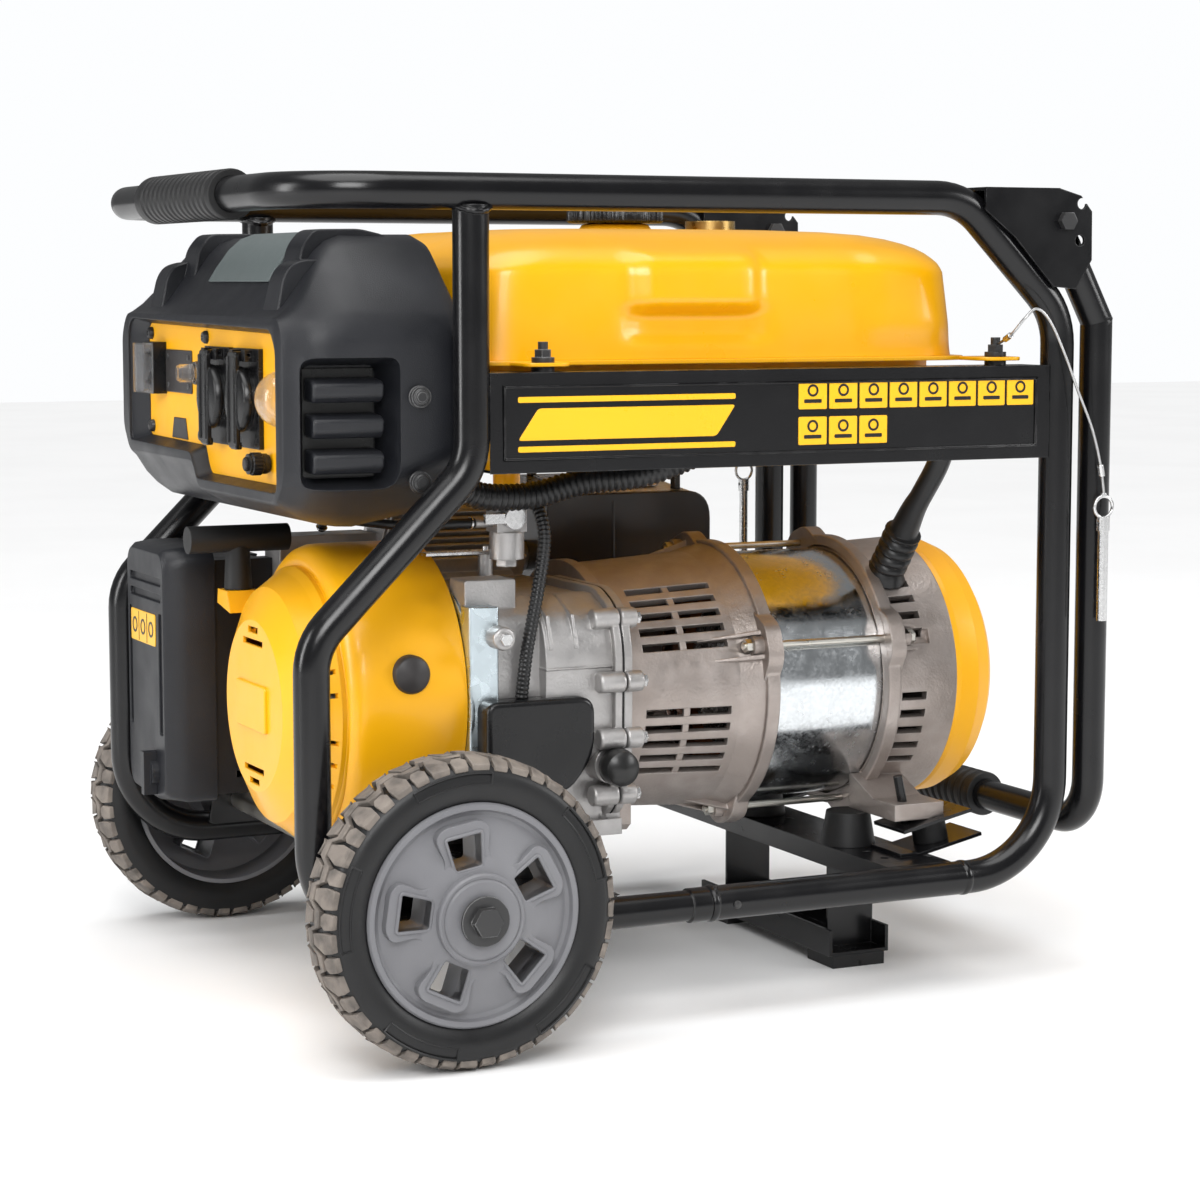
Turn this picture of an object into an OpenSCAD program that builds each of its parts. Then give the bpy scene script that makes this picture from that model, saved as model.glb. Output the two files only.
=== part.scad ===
// Portable petrol generator on a two-wheeled tube frame with a folding pull handle.
// +X runs along the crankshaft towards the alternator, -Y is the side with the label beam, +Z is up.
// The origin is on the floor under the middle of the machine.

/* [Frame] */
// Outside diameter of the frame tubes
tube_d = 28; // [27:0.5:29]
// Wall of the frame tubes
tube_wall = 1.8; // [1.5:0.1:2.2]
// Distance of each side frame from the middle
side_y = 249; // [247:1:251]
// Height of the bottom rails' axis
low_z = 94; // [92:1:96]
// Height of the top rails' axis
top_z = 660; // [658:1:662]
// Diameter of the handle's tube
handle_d = 27; // [26:0.5:27]

/* [Wheels] */
// Radius of a tyre
tyre_r = 120; // [118:1:120]
// Radius of the axle
axle_r = 10; // [9:0.5:11]
// Clearance between a shaft and its bore
running_gap = 0.05; // [0.02:0.01:0.08]

/* [Alternator] */
// Radius of the stator shell
stator_r = 108; // [106:1:108]
// Number of slots in each group on the alternator's castings
slot_rows = 5; // [4:1:5]

/* [Engine] */
// Radius of the crankshaft and rotor shaft
shaft_r = 16; // [15:0.5:17]
// Number of fins on the cylinder
fin_count = 8; // [6:1:8]

/* [Tank] */
// Height of the tank's top
tank_top = 636; // [630:1:638]

/* [Hidden] */
$fn = 64;
steel_black = "#1b1c1e";
plastic_grey = "#3d3f43";
machine_yellow = "#f5b400";
cast_grey = "#a9a5a0";
zinc = "#c9ccd0";
rubber_black = "#141414";

tube_r = tube_d / 2;
handle_r = handle_d / 2;
axle_x = -245;
axle_z = 120;
crank_y = -60;
crank_z = 250;
front_x = -355;        // axis of the front cross tube
rear_x = 316;          // axis of the rear legs
slip_x = -12;          // slip joint on the bottom rails
leg_low_x = -347;      // axis of the front legs near the floor
leg_top_x = -216;      // axis of the front legs at the top rail
beam_z = [446, 523];   // bottom and top of the side beams
beam_face = 257;       // outer face of the side beams
bed_top = 108;         // top of the cross beams
bed_low = 90;
pivot = [311, 642];    // handle pivot in X and Z
handle_x = 355;
grip_z = 130;
lock_hole = [14.4, -16];  // locking hole from the pivot, in X and Z
panel_x = -343;
slip_low_r = tube_r - tube_wall - 0.1;

adapter_x = [-55.9, 93];
stator_x = [93.1, 198.9];
bell_x = [199, 269];
cap_x = [269.1, 318];
bolt_angles = [20, -70, 110, 200];
bolt_ring_r = 116;

// ---------- helpers ----------

// Box between two corners
module block(lo, hi) {
    translate(lo) cube(hi - lo);
}

// Cylinders along each axis
module rod_x(x0, x1, y, z, r) {
    translate([x0, y, z]) rotate([0, 90, 0]) cylinder(r = r, h = x1 - x0);
}
module rod_y(y0, y1, x, z, r) {
    translate([x, y0, z]) rotate([-90, 0, 0]) cylinder(r = r, h = y1 - y0);
}
module rod_z(z0, z1, x, y, r) {
    translate([x, y, z0]) cylinder(r = r, h = z1 - z0);
}

// Outline in X and Z, extruded along Y
module prism_y(points, y0, y1) {
    translate([0, y1, 0]) rotate([90, 0, 0]) linear_extrude(y1 - y0) polygon(points);
}

// Outline in Y and Z, extruded along X
module prism_x(points, x0, x1) {
    translate([x0, 0, 0]) rotate([90, 0, 90]) linear_extrude(x1 - x0) polygon(points);
}

// Profile of radius and X, turned about the crank axis
module turned_x(points) {
    translate([0, crank_y, crank_z]) rotate([0, 90, 0]) rotate_extrude($fn = 96) polygon(points);
}

// Profile of radius and Y, turned about the axle
module turned_y(points) {
    translate([axle_x, 0, axle_z]) rotate([-90, 0, 0]) rotate_extrude($fn = 96) polygon(points);
}

// Rectangle with round corners
module round_rect(lo, hi, r) {
    for (x = [lo[0] + r, hi[0] - r], y = [lo[1] + r, hi[1] - r]) translate([x, y]) circle(r);
    translate([lo[0] + r, lo[1]]) square([hi[0] - lo[0] - 2 * r, hi[1] - lo[1]]);
    translate([lo[0], lo[1] + r]) square([hi[0] - lo[0], hi[1] - lo[1] - 2 * r]);
}

// Tube section
module ring(r, wall) {
    difference() {
        circle(r);
        circle(r - wall);
    }
}

// Bent tube along +Z; each step is [straight length, roll, bend angle, bend radius]
module bent(steps, r, wall, i = 0) {
    if (i < len(steps)) {
        s = steps[i];
        linear_extrude(s[0]) ring(r, wall);
        translate([0, 0, s[0]]) rotate([0, 0, s[1]]) {
            if (s[2] > 0)
                translate([s[3], 0, 0]) rotate([90, 0, 180])
                    rotate_extrude(angle = s[2]) translate([s[3], 0]) ring(r, wall);
            translate([s[3] * (1 - cos(s[2])), 0, s[3] * sin(s[2])]) rotate([0, s[2], 0])
                bent(steps, r, wall, i + 1);
        }
    }
}

// Both sides of the machine
module both_sides() {
    children();
    mirror([0, 1, 0]) children();
}

// Hexagon bolt head or nut along Y
module hex_y(y0, y1, x, z, r) {
    translate([x, y0, z]) rotate([-90, 0, 0]) cylinder(r = r, h = y1 - y0, $fn = 6);
}

// Smooth curve through hand-picked points, n steps in each gap
function knot(p, i) = p[max(0, min(len(p) - 1, i))];
function curve_at(p, i, t) = 0.5 * (2 * knot(p, i) + (knot(p, i + 1) - knot(p, i - 1)) * t
    + (2 * knot(p, i - 1) - 5 * knot(p, i) + 4 * knot(p, i + 1) - knot(p, i + 2)) * t * t
    + (3 * knot(p, i) - knot(p, i - 1) - 3 * knot(p, i + 1) + knot(p, i + 2)) * t * t * t);
function smooth(p, n) = concat([for (i = [0 : len(p) - 2], k = [0 : n - 1]) curve_at(p, i, k / n)],
    [p[len(p) - 1]]);
function unit(v) = v / norm(v);

// Round cord swept along points, with one radius or a radius at each point;
// side is a direction that the cord never runs along
module cord(points, r, side, sides = 8) {
    radii = is_list(r) ? r : [for (p = points) r];
    n = len(points);
    along = [for (i = [0 : n - 1]) unit(points[min(n - 1, i + 1)] - points[max(0, i - 1)])];
    rings = [for (i = [0 : n - 1]) let (u = unit(cross(along[i], side)), v = cross(along[i], u))
        for (k = [0 : sides - 1])
            points[i] + radii[i] * (cos(360 * k / sides) * u + sin(360 * k / sides) * v)];
    walls = [for (i = [0 : n - 2], k = [0 : sides - 1])
        [i * sides + k, i * sides + (k + 1) % sides,
            (i + 1) * sides + (k + 1) % sides, (i + 1) * sides + k]];
    ends = [[for (k = [0 : sides - 1]) sides - 1 - k], [for (k = [0 : sides - 1]) (n - 1) * sides + k]];
    polyhedron(rings, concat(walls, ends), convexity = 4);
}

// ---------- frame ----------

bend_cut = tube_r * tan(22.5) + 0.3;    // how far a mitred 45 degree corner reaches past its point
rear_corner_z = 564.85;
rail_corner_x = rear_x - (top_z - rear_corner_z);
low_bend = 73;
jog_low_z = 320.71;
jog_top_z = jog_low_z + leg_top_x - leg_low_x;

// Sloping tube of a side frame from one corner up to the next, at 45 degrees
module slope(x, z, rise, way) {
    translate([x, -side_y, z]) rotate([0, way * 45, 0]) translate([0, 0, -bend_cut])
        linear_extrude(rise / cos(45) + 2 * bend_cut) ring(tube_r, tube_wall);
}

// Rear leg from the slip joint on the bottom rail up to its corner
module rear_leg() {
    translate([slip_x, -side_y, low_z]) rotate([0, 90, 0]) rotate([0, 0, 180])
        bent([[rear_x - 80 - slip_x, 0, 90, 80],
              [rear_corner_z + bend_cut - low_z - 80, 0, 0, 0]], tube_r, tube_wall);
}

module main_tube() color(steel_black) {
    both_sides() {
        rear_leg();
        slope(rear_x, rear_corner_z, top_z - rear_corner_z, -1);
    }
    translate([rail_corner_x + bend_cut, -side_y, top_z]) rotate([0, -90, 0])
        bent([[rail_corner_x + bend_cut - front_x - 70, 90, 90, 70],
              [2 * side_y - 140, 0, 90, 70],
              [rail_corner_x + bend_cut - front_x - 70, 0, 0, 0]], tube_r, tube_wall);
}

module front_leg() {
    difference() {
        union() {
            translate([slip_x, -side_y, low_z]) rotate([0, -90, 0])
                bent([[slip_x - leg_low_x - low_bend, 0, 90, low_bend],
                      [jog_low_z + bend_cut - low_z - low_bend, 0, 0, 0]], tube_r, tube_wall);
            slope(leg_low_x, jog_low_z, leg_top_x - leg_low_x, 1);
            translate([leg_top_x, -side_y, jog_top_z - bend_cut])
                linear_extrude(top_z - 4 - jog_top_z + bend_cut) ring(tube_r, tube_wall);
            translate([slip_x, -side_y, low_z]) rotate([0, 90, 0])
                linear_extrude(35) ring(slip_low_r, tube_wall);
            translate([slip_x - 2, -side_y, low_z]) rotate([0, 90, 0])
                linear_extrude(2) ring(tube_r, tube_r - slip_low_r + tube_wall);
            prism_y([[-276, 98], [-214, 98], [-222, 140], [-268, 140]], 5 - side_y + 7.6, 5 - side_y + 13);
        }
        rod_x(-300, -150, -side_y, top_z, tube_r + 0.05);
        rod_y(-side_y, -side_y + 30, axle_x, axle_z, axle_r + running_gap);
    }
}

module front_legs() color(steel_black) both_sides() front_leg();

module side_beams() color(steel_black) both_sides() difference() {
    union() {
        block([-204, -beam_face, beam_z[0]], [304, 2 - beam_face, beam_z[1]]);
        block([-200, -beam_face, beam_z[1] - 2], [300, -219, beam_z[1]]);
        block([-200, -beam_face, beam_z[0]], [300, -232, beam_z[0] + 2]);
    }
    for (x = [leg_top_x, rear_x]) rod_z(beam_z[0] - 5, beam_z[1] + 5, x, -side_y, tube_r + 0.05);
    for (x = [-150, 264]) rod_z(beam_z[1] - 5, beam_z[1] + 5, x, -235, 4.05);
}

// Channel that opens downwards, between the bottom rails
module cross_channel(x0, x1) {
    difference() {
        block([x0, -246, bed_low], [x1, 246, bed_top]);
        block([x0 + 2.5, -250, bed_low - 1], [x1 - 2.5, 250, bed_top - 2.5]);
        for (s = [-1, 1]) rod_x(x0 - 1, x1 + 1, s * side_y, low_z, tube_r + 0.05);
        for (y = [-210, -181]) rod_z(bed_low, bed_top + 1, x0 + 18, y, 3.5);
    }
}

foot_y = [-148, 92];

module cross_beams() color(steel_black) {
    difference() {
        union() {
            cross_channel(159, 220);
            for (y = [-124, 64]) block([172, y, 12], [217, y + 3, bed_top - 2]);
            block([160, foot_y[0], 11], [219, foot_y[1], 14]);
            for (x = [160, 216]) block([x, foot_y[0], 11], [x + 3, foot_y[1], 34]);
        }
        for (y = [-140, 76]) rod_z(5, 20, 190, y, 4.05);
    }
    cross_channel(-150, -89);
}

plate_outline = [[233, 669], [304, 669], [326, 663], [337, 650], [337.5, 610], [322, 586],
    [300, 588], [262, 628], [233, 650]];

module corner_bracket() {
    difference() {
        union() {
            for (y = [-266, -234.98]) prism_y(plate_outline, y, y + 2.98);
            block([233, -266, 666], [305, -232, 669]);
        }
        for (p = [[0, 0], lock_hole, [-lock_hole[1], lock_hole[0]]])
            rod_y(-270, -230, pivot[0] + p[0], pivot[1] + p[1], p[0] == 0 ? 4.05 : 4.6);
        translate([pivot[0] - 71.5, -side_y, pivot[1]]) rotate([0, 135, 0])
            translate([0, 0, -20]) cylinder(r = tube_r + 0.03, h = 110);
    }
}

module corner_brackets() color(steel_black) both_sides() corner_bracket();

module foot_pads() color(rubber_black)
    for (y = [foot_y[0], foot_y[1] - 45]) difference() {
        block([164, y, 0], [215, y + 45, 10.9]);
        rod_z(-1, 5, 190, y + 8 + (y < 0 ? 0 : 21), 8);
        rod_z(4, 12, 190, y + 8 + (y < 0 ? 0 : 21), 4.05);
    }

module grip_tube(x, z, half, bore) {
    difference() {
        union() {
            rod_y(-half, half, x, z, 18.5);
            for (i = [0 : 13]) translate([0, 10 - half + i * (2 * half - 28) / 13, 0]) rod_y(0, 8, x, z, 20);
        }
        rod_y(-half - 1, half + 1, x, z, bore);
    }
}

module front_grip() color(rubber_black) grip_tube(front_x, top_z, 100, tube_r + 0.05);

module axle() color(zinc) difference() {
    rod_y(-338.2, 338.2, axle_x, axle_z, axle_r);
    for (s = [-1, 1]) rod_y(s * 320 - 20, s * 320 + 20, axle_x, axle_z, 4.02);
}

// ---------- engine and alternator mounts ----------

tilt = 12;
wedge_at = [212, 108.1];
front_mounts = [[-120, -140], [-120, 20]];
rear_mounts = [[182, -140], [182, 20]];
wedge_ys = [-190, 70];

module tilted(y) {
    translate([wedge_at[0], y, wedge_at[1]]) rotate([0, -tilt, 0]) children();
}

module rubber_mounts() color(rubber_black) {
    for (p = front_mounts) rod_z(bed_top + 0.1, 143.9, p[0], p[1], 20);
    for (p = rear_mounts) translate([p[0], p[1], bed_top + 0.1]) cylinder(r1 = 24, r2 = 19, h = 28.8);
    for (y = wedge_ys) tilted(y) translate([24, 0, 3.05]) cylinder(r = 15, h = 19.9);
}

module mount_plates() color(steel_black) for (y = wedge_ys) {
    difference() {
        union() {
            block([190, y - 25, bed_top + 0.1], [212.6, y + 25, bed_top + 3.1]);
            tilted(y) translate([0, -25, 0]) cube([60, 50, 3]);
        }
        tilted(y) translate([-5, -26, 3]) cube([20, 52, 5]);
    }
    tilted(y) translate([-14, -25, 23]) cube([68, 50, 3]);
    tilted(y) translate([3, 0, 26]) cylinder(r = 4, h = 40);
}

// ---------- fuel tank ----------

tank_lo = [-195, -205];
tank_hi = [252, 205];
neck = [25, 0];
gauge_at = [118, 0];

module tank_body(grow) {
    difference() {
        union() {
            intersection() {
                translate([0, 0, 529 + grow]) linear_extrude(tank_top - 529 - 2 * grow)
                    round_rect(tank_lo + [grow, grow], tank_hi - [grow, grow], 34);
                prism_x([[-205 + grow, 525], [205 - grow, 525], [205 - grow, tank_top - 38],
                    [168, tank_top - grow], [-168, tank_top - grow],
                    [-205 + grow, tank_top - 38]], -200, 260);
                prism_y([[-195 + grow, 525], [252 - grow, 525], [252 - grow, tank_top - 40],
                    [215, tank_top - grow], [-160, tank_top - grow],
                    [-195 + grow, tank_top - 38]], -210, 210);
            }
            translate([0, 0, 440 + grow]) linear_extrude(92)
                round_rect([-185, -190] + [grow, grow], [240, 190] - [grow, grow], 30);
        }
        // grip pocket in the label side
        difference() {
            block([-58, -210, 572 - grow], [58, -186 + grow, 622]);
            block([-45, -194 + grow, 570], [45, -180, 612]);
        }
    }
}

module fuel_tank() color(machine_yellow) difference() {
    union() {
        tank_body(0);
        difference() {
            translate([0, 0, 526.9]) linear_extrude(3.6) round_rect([-203, -217], [260, 217], 30);
            block([-190, -190, 520], [245, 190, 540]);
        }
        for (x = [-150, tank_bolt_x]) both_sides() block([x - 20, -249, 526.9], [x + 20, -205, 529.9]);
        rod_z(tank_top - 6, tank_top + 6, neck[0], neck[1], 30);
        rod_z(430, 445, -144, -150, 11);
    }
    tank_body(1.6);
    rod_z(tank_top - 20, tank_top + 10, neck[0], neck[1], 24);
    rod_z(425, 450, -144, -150, 5);
    for (x = [-150, tank_bolt_x], s = [-1, 1]) rod_z(520, 535, x, s * 235, 6.05);
}

module fuel_gauge() color("#b98a2c") difference() {
    rod_z(tank_top + 0.02, tank_top + 9, gauge_at[0], gauge_at[1], 22);
    rod_z(tank_top + 7.5, tank_top + 10, gauge_at[0], gauge_at[1], 17);
}

module fuel_cap() color(steel_black) difference() {
    union() {
        rod_z(tank_top + 6.4, tank_top + 20, neck[0], neck[1], 42);
        rod_z(tank_top - 6, tank_top + 8, neck[0], neck[1], 24 - running_gap);
    }
    for (a = [0 : 30 : 330]) rod_z(tank_top + 5, tank_top + 21,
        neck[0] + 43 * cos(a), neck[1] + 43 * sin(a), 4);
}

tap = [-144, -150];

module fuel_tap() color(zinc) difference() {
    union() {
        rod_z(416, 429.9, tap[0], tap[1], 7);
        block([tap[0] - 13, tap[1] - 11, 392], [tap[0] + 13, tap[1] + 11, 417]);
        rod_z(370, 392, tap[0], tap[1], 14);
        translate([tap[0], tap[1], 364]) cylinder(r = 9, h = 6, $fn = 6);
        rod_x(tap[0] - 28, tap[0] - 12, tap[1], 400, 4);
    }
    rod_y(tap[1] - 20, tap[1] - 3, tap[0], 404, 4 + running_gap);
}

module tap_lever() color(steel_black) {
    rod_y(tap[1] - 14, tap[1] - 4, tap[0], 404, 4);
    rod_y(tap[1] - 19, tap[1] - 13, tap[0], 404, 9);
    block([tap[0] - 26, tap[1] - 18, 400], [tap[0], tap[1] - 14, 408]);
}

// ---------- control box ----------

box_half = 232;
box_bolt_x = -252;
box_profile = [[-355, 428], [-355, 557], [-332, 598], [-305, 619], [-225, 622], [-206, 604],
    [-206, 452], [-238, 411], [-285, 403]];
box_inner = [[-340, 431], [-340, 560], [-325, 594], [-303, 616], [-227, 619], [-209, 602],
    [-209, 455], [-240, 414], [-285, 406]];
// opening of the front, in Y and Z, with its lower right part
function opening(in) = [[-184 + in, 436 + in], [-184 + in, 552 - in], [168 - in, 557 - in],
    [168 - in, 460 + in], [12 - in, 458 + in], [0 - in, 436 + in]];

module control_box() color(plastic_grey) difference() {
    union() {
        prism_y(box_profile, -box_half, box_half);
        for (y = [-165, -125, 110, 150])
            prism_y([[-335, 585], [-318, 630], [-240, 630], [-240, 615], [-300, 610]], y, y + 16);
    }
    prism_y(box_inner, 3 - box_half, box_half - 3);
    prism_x(opening(0), -360, -338);
    // seats of the side bolts
    for (s = [-1, 1], z = [440, 505]) rod_y(s * box_half - 5, s * box_half + 5, box_bolt_x, z, 4.05);
}

module control_panel() color(machine_yellow) difference() {
    prism_x(opening(0.15), panel_x, panel_x + 2);
    for (p = screw_spots) rod_x(panel_x - 1, panel_x + 3, p[0], p[1], 2.55);
    rod_x(panel_x - 1, panel_x + 3, 30, 517, 6.55);
    block([panel_x - 1, breaker_y - 13, 504], [panel_x + 3, breaker_y + 13, 534]);
    for (y = socket_ys) rod_x(panel_x - 1, panel_x + 3, y, 500, 21);
    rod_x(panel_x - 1, panel_x + 3, -148, 452, 4.05);
}

screw_spots = [[160, 548], [6, 547], [160, 468], [18, 466], [-176, 544]];
socket_ys = [-31, -104];
breaker_y = 134;
pivot_x = panel_x - 7;

module breaker_block() color(rubber_black) difference() {
    union() {
        block([panel_x - 12, breaker_y - 15, 497], [panel_x - 0.05, breaker_y + 15, 541]);
        block([panel_x - 0.1, breaker_y - 11, 506], [panel_x + 30, breaker_y + 11, 532]);
    }
    block([panel_x - 13, breaker_y - 9, 505], [panel_x - 3, breaker_y + 9, 533]);
    rod_y(breaker_y - 13, breaker_y + 13, pivot_x, 519, 1.5 + running_gap);
}

module breaker_toggle() color(rubber_black) {
    rod_y(breaker_y - 12, breaker_y + 12, pivot_x, 519, 1.5);
    prism_y([[panel_x - 6.5, 510], [panel_x - 15, 509], [panel_x - 11, 519], [panel_x - 10.5, 529],
        [panel_x - 6.5, 528]], breaker_y - 7, breaker_y + 7);
}

module clear_covers() color([0.9, 0.95, 1, 0.4]) {
    difference() {
        block([panel_x - 21, breaker_y - 14.5, 498], [panel_x - 12.05, breaker_y + 14.5, 540]);
        block([panel_x - 19.5, breaker_y - 13, 499.5], [panel_x - 10, breaker_y + 13, 538.5]);
    }
    translate([panel_x - 0.05, -160.5, 502]) rotate([0, -90, 0]) rotate_extrude() difference() {
        intersection() {
            translate([0, -7]) circle(22.1);
            square([22, 16]);
        }
        translate([0, -7]) circle(20.6);
    }
}

module reset_button() color([0.9, 0.95, 1, 0.5]) {
    rod_x(panel_x - 18, panel_x + 8, 30, 517, 6.5);
    rod_x(panel_x - 16, panel_x - 6, 30, 517, 7.5);
}

module socket_bodies() color(rubber_black) {
    for (y = socket_ys) difference() {
        union() {
            block([panel_x - 4, y - 31, 462], [panel_x - 0.05, y + 31, 540]);
            rod_x(panel_x - 4, panel_x + 30, y, 500, 20.9);
            rod_x(panel_x - 7, panel_x - 3, y, 500, 25);
        }
        rod_x(panel_x - 8, panel_x + 14, y, 500, 19.5);
        for (s = [-1, 1]) rod_x(panel_x + 10, panel_x + 27, y + 9.5 * s, 500, 2.5);
    }
    for (y = socket_ys, s = [-15, 15]) difference() {
        block([panel_x - 11, y + s - 4, 530], [panel_x - 4, y + s + 4, 539]);
        rod_y(y + s - 5, y + s + 5, panel_x - 7.5, 535, 1.5);
    }
}

module socket_lid(y) {
    difference() {
        union() {
            rod_x(panel_x - 14, panel_x - 7.4, y, 500, 26);
            block([panel_x - 15.5, y - 10, 464], [panel_x - 9, y + 10, 534]);
            rod_y(y - 10, y + 10, panel_x - 7.5, 535, 3.2);
        }
        rod_x(panel_x - 10, panel_x - 3, y, 500, 21);
        block([panel_x - 7.4, y - 12, 460], [panel_x, y + 12, 530]);
    }
    rod_y(y - 19, y + 19, panel_x - 7.5, 535, 1.5 - running_gap);
}

module socket_lid_1() color(rubber_black) socket_lid(socket_ys[0]);
module socket_lid_2() color(rubber_black) socket_lid(socket_ys[1]);

module ground_terminal() color(rubber_black) {
    rod_x(panel_x - 18, panel_x - 3, -148, 452, 8);
    rod_x(panel_x - 3, panel_x + 12, -148, 452, 4);
}

// ---------- engine ----------

cyl_tilt = 30;
dip = [-74, 204];      // oil dipstick in X and Z
post = [-150, -120];   // post of the throttle lever
post_top = 372;

module along_cylinder() {
    translate([0, crank_y, crank_z]) rotate([cyl_tilt, 0, 0]) children();
}

module engine_block() color(cast_grey) difference() {
    union() {
        prism_x([[-178, 156], [-178, 300], [-150, 338], [20, 338], [58, 300], [58, 156]], -188, -56);
        block([-180, -186, 144], [-58, 66, 157]);
        rod_y(-200, -170, dip[0], dip[1], 15);
        rod_x(-190.5, -180, crank_y, crank_z, 40);
        rod_z(330, post_top, post[0], post[1], 6);
        along_cylinder() {
            block([-150, 100, -46], [-70, 185, 46]);
            for (i = [0 : fin_count - 1]) block([-159, 108 + i * 10, -60], [-58, 111 + i * 10, 60]);
        }
    }
    rod_x(-195, -50, crank_y, crank_z, shaft_r + running_gap);
    rod_y(-205, -160, dip[0], dip[1], 9 + running_gap);
    rod_z(post_top - 12, post_top + 3, post[0], post[1], 2.5 + running_gap);
    block([-170, -150, 165], [-75, 30, 215]);
    for (x = [-165, -72], y = [-180, 58]) rod_z(140, 160, x, y, 4.05);
}

module cylinder_head() color(cast_grey) along_cylinder() {
    block([-160, 185.1, -58], [-60, 221, 58]);
    block([-146, 220, -48], [-74, 258, 48]);
    difference() {
        translate([-110, 258, 0]) rotate([-90, 0, 0]) cylinder(r = 20, h = 4);
        translate([-110, 260, 0]) rotate([-90, 0, 0]) cylinder(r = 15, h = 4);
    }
}

// Half length of a vent in the recoil cover's face at height z
function vent_half(z) = abs(z - crank_z) > 55 ? 12 : 24;

module recoil_cover() color(machine_yellow) difference() {
    union() {
        turned_x([[0, -331], [70, -329], [96, -316], [107, -300], [112, -294], [112, -290.1], [104, -290.1],
            [102, -300], [92, -313], [68, -326], [0, -328]]);
        difference() {
            prism_x([[26, 316], [60, 322], [58, 334], [34, 334]], -320, -292);
            turned_x([[0, -330], [100, -330], [104, -280], [0, -280]]);
        }
    }
    for (z = [312, 302, 198, 188])
        block([-335, crank_y - vent_half(z), z - 2.5], [-310, crank_y + vent_half(z), z + 2.5]);
    for (a = [60, 70, 80, 100, 110, 120, -60, -70, -80, -100, -110, -120])
        translate([0, crank_y, crank_z]) rotate([a, 0, 0]) block([-312, -1, 86], [-296, 3, 125]);
    translate([-306, 46, 300]) cylinder(r = 4, h = 40);
}

shroud_c = [-62, 258];

module fan_shroud() color(machine_yellow) difference() {
    union() {
        rod_x(-290, -192.1, shroud_c[0], shroud_c[1], 122);
        rod_y(-190, -175, -240, 285, 16);
    }
    rod_x(-287.5, -190, shroud_c[0], shroud_c[1], 119.5);
    rod_x(-295, -280, crank_y, crank_z, 100);
}

module rotor() color(zinc) difference() {
    turned_x([[0, -284], [12, -284], [12, -240], [shaft_r, -240], [shaft_r, 104], [69.4, 106], [69.4, 186],
        [shaft_r, 188], [15, 200], [15, 262], [0, 262]]);
    for (a = [0, 180]) translate([0, crank_y, crank_z]) rotate([a, 0, 0]) block([100, -3, 52], [192, 3, 75]);
}

module flywheel() color(cast_grey) {
    turned_x([[12.05, -262], [30, -262], [30, -252], [96, -248], [100, -240.1], [100, -222], [84, -222],
        [84, -236], [shaft_r + 0.05, -236], [shaft_r + 0.05, -240.1], [12.05, -240.1]]);
    for (i = [0 : 15]) translate([0, crank_y, crank_z]) rotate([i * 22.5, 0, 0])
        block([-280, -1.5, 55], [-249, 1.5, 98]);
}

module filter_case() color(plastic_grey) difference() {
    block([-305, 120, 146], [-250, 226, 352]);
    block([-306, 123, 149], [-253, 223, 349]);
    rod_x(-260, -240, 150, 340, 16);
    for (z = [160 : 12 : 208]) block([-285, 118, z], [-258, 125, z + 6]);
}

module filter_cover() color(plastic_grey) difference() {
    prism_y([[-340, 140], [-305.1, 142], [-305.1, 358], [-314, 364], [-350, 362]], 112, 232);
    prism_y([[-336, 148], [-300, 150], [-300, 350], [-312, 356], [-344, 354]], 116, 228);
    rod_x(-360, -330, 148, 165, 6 + running_gap);
}

module filter_knob() color(plastic_grey) {
    rod_x(-344, -330, 148, 165, 6);
    rod_x(-356, -343.4, 148, 165, 11);
    block([-362, 144, 146], [-350, 152, 184]);
}

module carburettor() color(cast_grey) {
    block([-249.9, 100, 322], [-160.1, 140, 372]);
    rod_z(300, 322, -205, 120, 20);
}

module muffler() color(zinc) {
    difference() {
        union() {
            block([12, 72, 276], [142, 180, 392]);
            rod_x(-59.9, 12, 117, 345, 14);
        }
        block([14, 74, 278], [140, 178, 390]);
        rod_x(-61, 16, 117, 345, 11);
    }
}

module muffler_shield() color(steel_black) difference() {
    prism_y([[4, 262], [4, 392], [12, 402], [140, 402], [152, 392], [152, 262]], 62, 190);
    block([6.5, 64.5, 250], [149.5, 187.5, 395]);
    block([20, 75, 390], [134, 178, 405]);
    rod_x(0, 10, 117, 345, 18);
}

module oil_sensor_cover() color(rubber_black) difference() {
    block([-185, -206, 184], [-92, -178.1, 262]);
    block([-182, -203, 187], [-95, -170, 259]);
}

module dipstick() color(rubber_black) {
    rod_y(-222, -200.1, dip[0], dip[1], 14);
    rod_y(-202, -162, dip[0], dip[1], 9);
    block([dip[0] - 16, -226, dip[1] - 5], [dip[0] + 16, -216, dip[1] + 5]);
}

module throttle_lever() color(zinc) {
    rod_z(post_top - 11, post_top + 6, post[0], post[1], 2.5);
    difference() {
        block([-205, -128, post_top + 0.2], [-142, -112, post_top + 2.7]);
        rod_z(post_top - 2, post_top + 4, -198, post[1], 2.5);
    }
}

grip_y = 46;

module recoil_grip() color(rubber_black) {
    translate([-306, grip_y, 334.5]) cylinder(r1 = 12, r2 = 10, h = 36);
    rod_x(-350, -262, grip_y, 377, 11.5);
}

// ---------- alternator ----------

// Rows of slots through a casting's wall, centred on angle a
module slot_group(a, x0, x1, pitch) {
    for (i = [0 : slot_rows - 1]) translate([0, crank_y, crank_z])
        rotate([a + (i - (slot_rows - 1) / 2) * pitch, 0, 0]) block([x0, -125, -3.5], [x1, -80, 3.5]);
}

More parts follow.
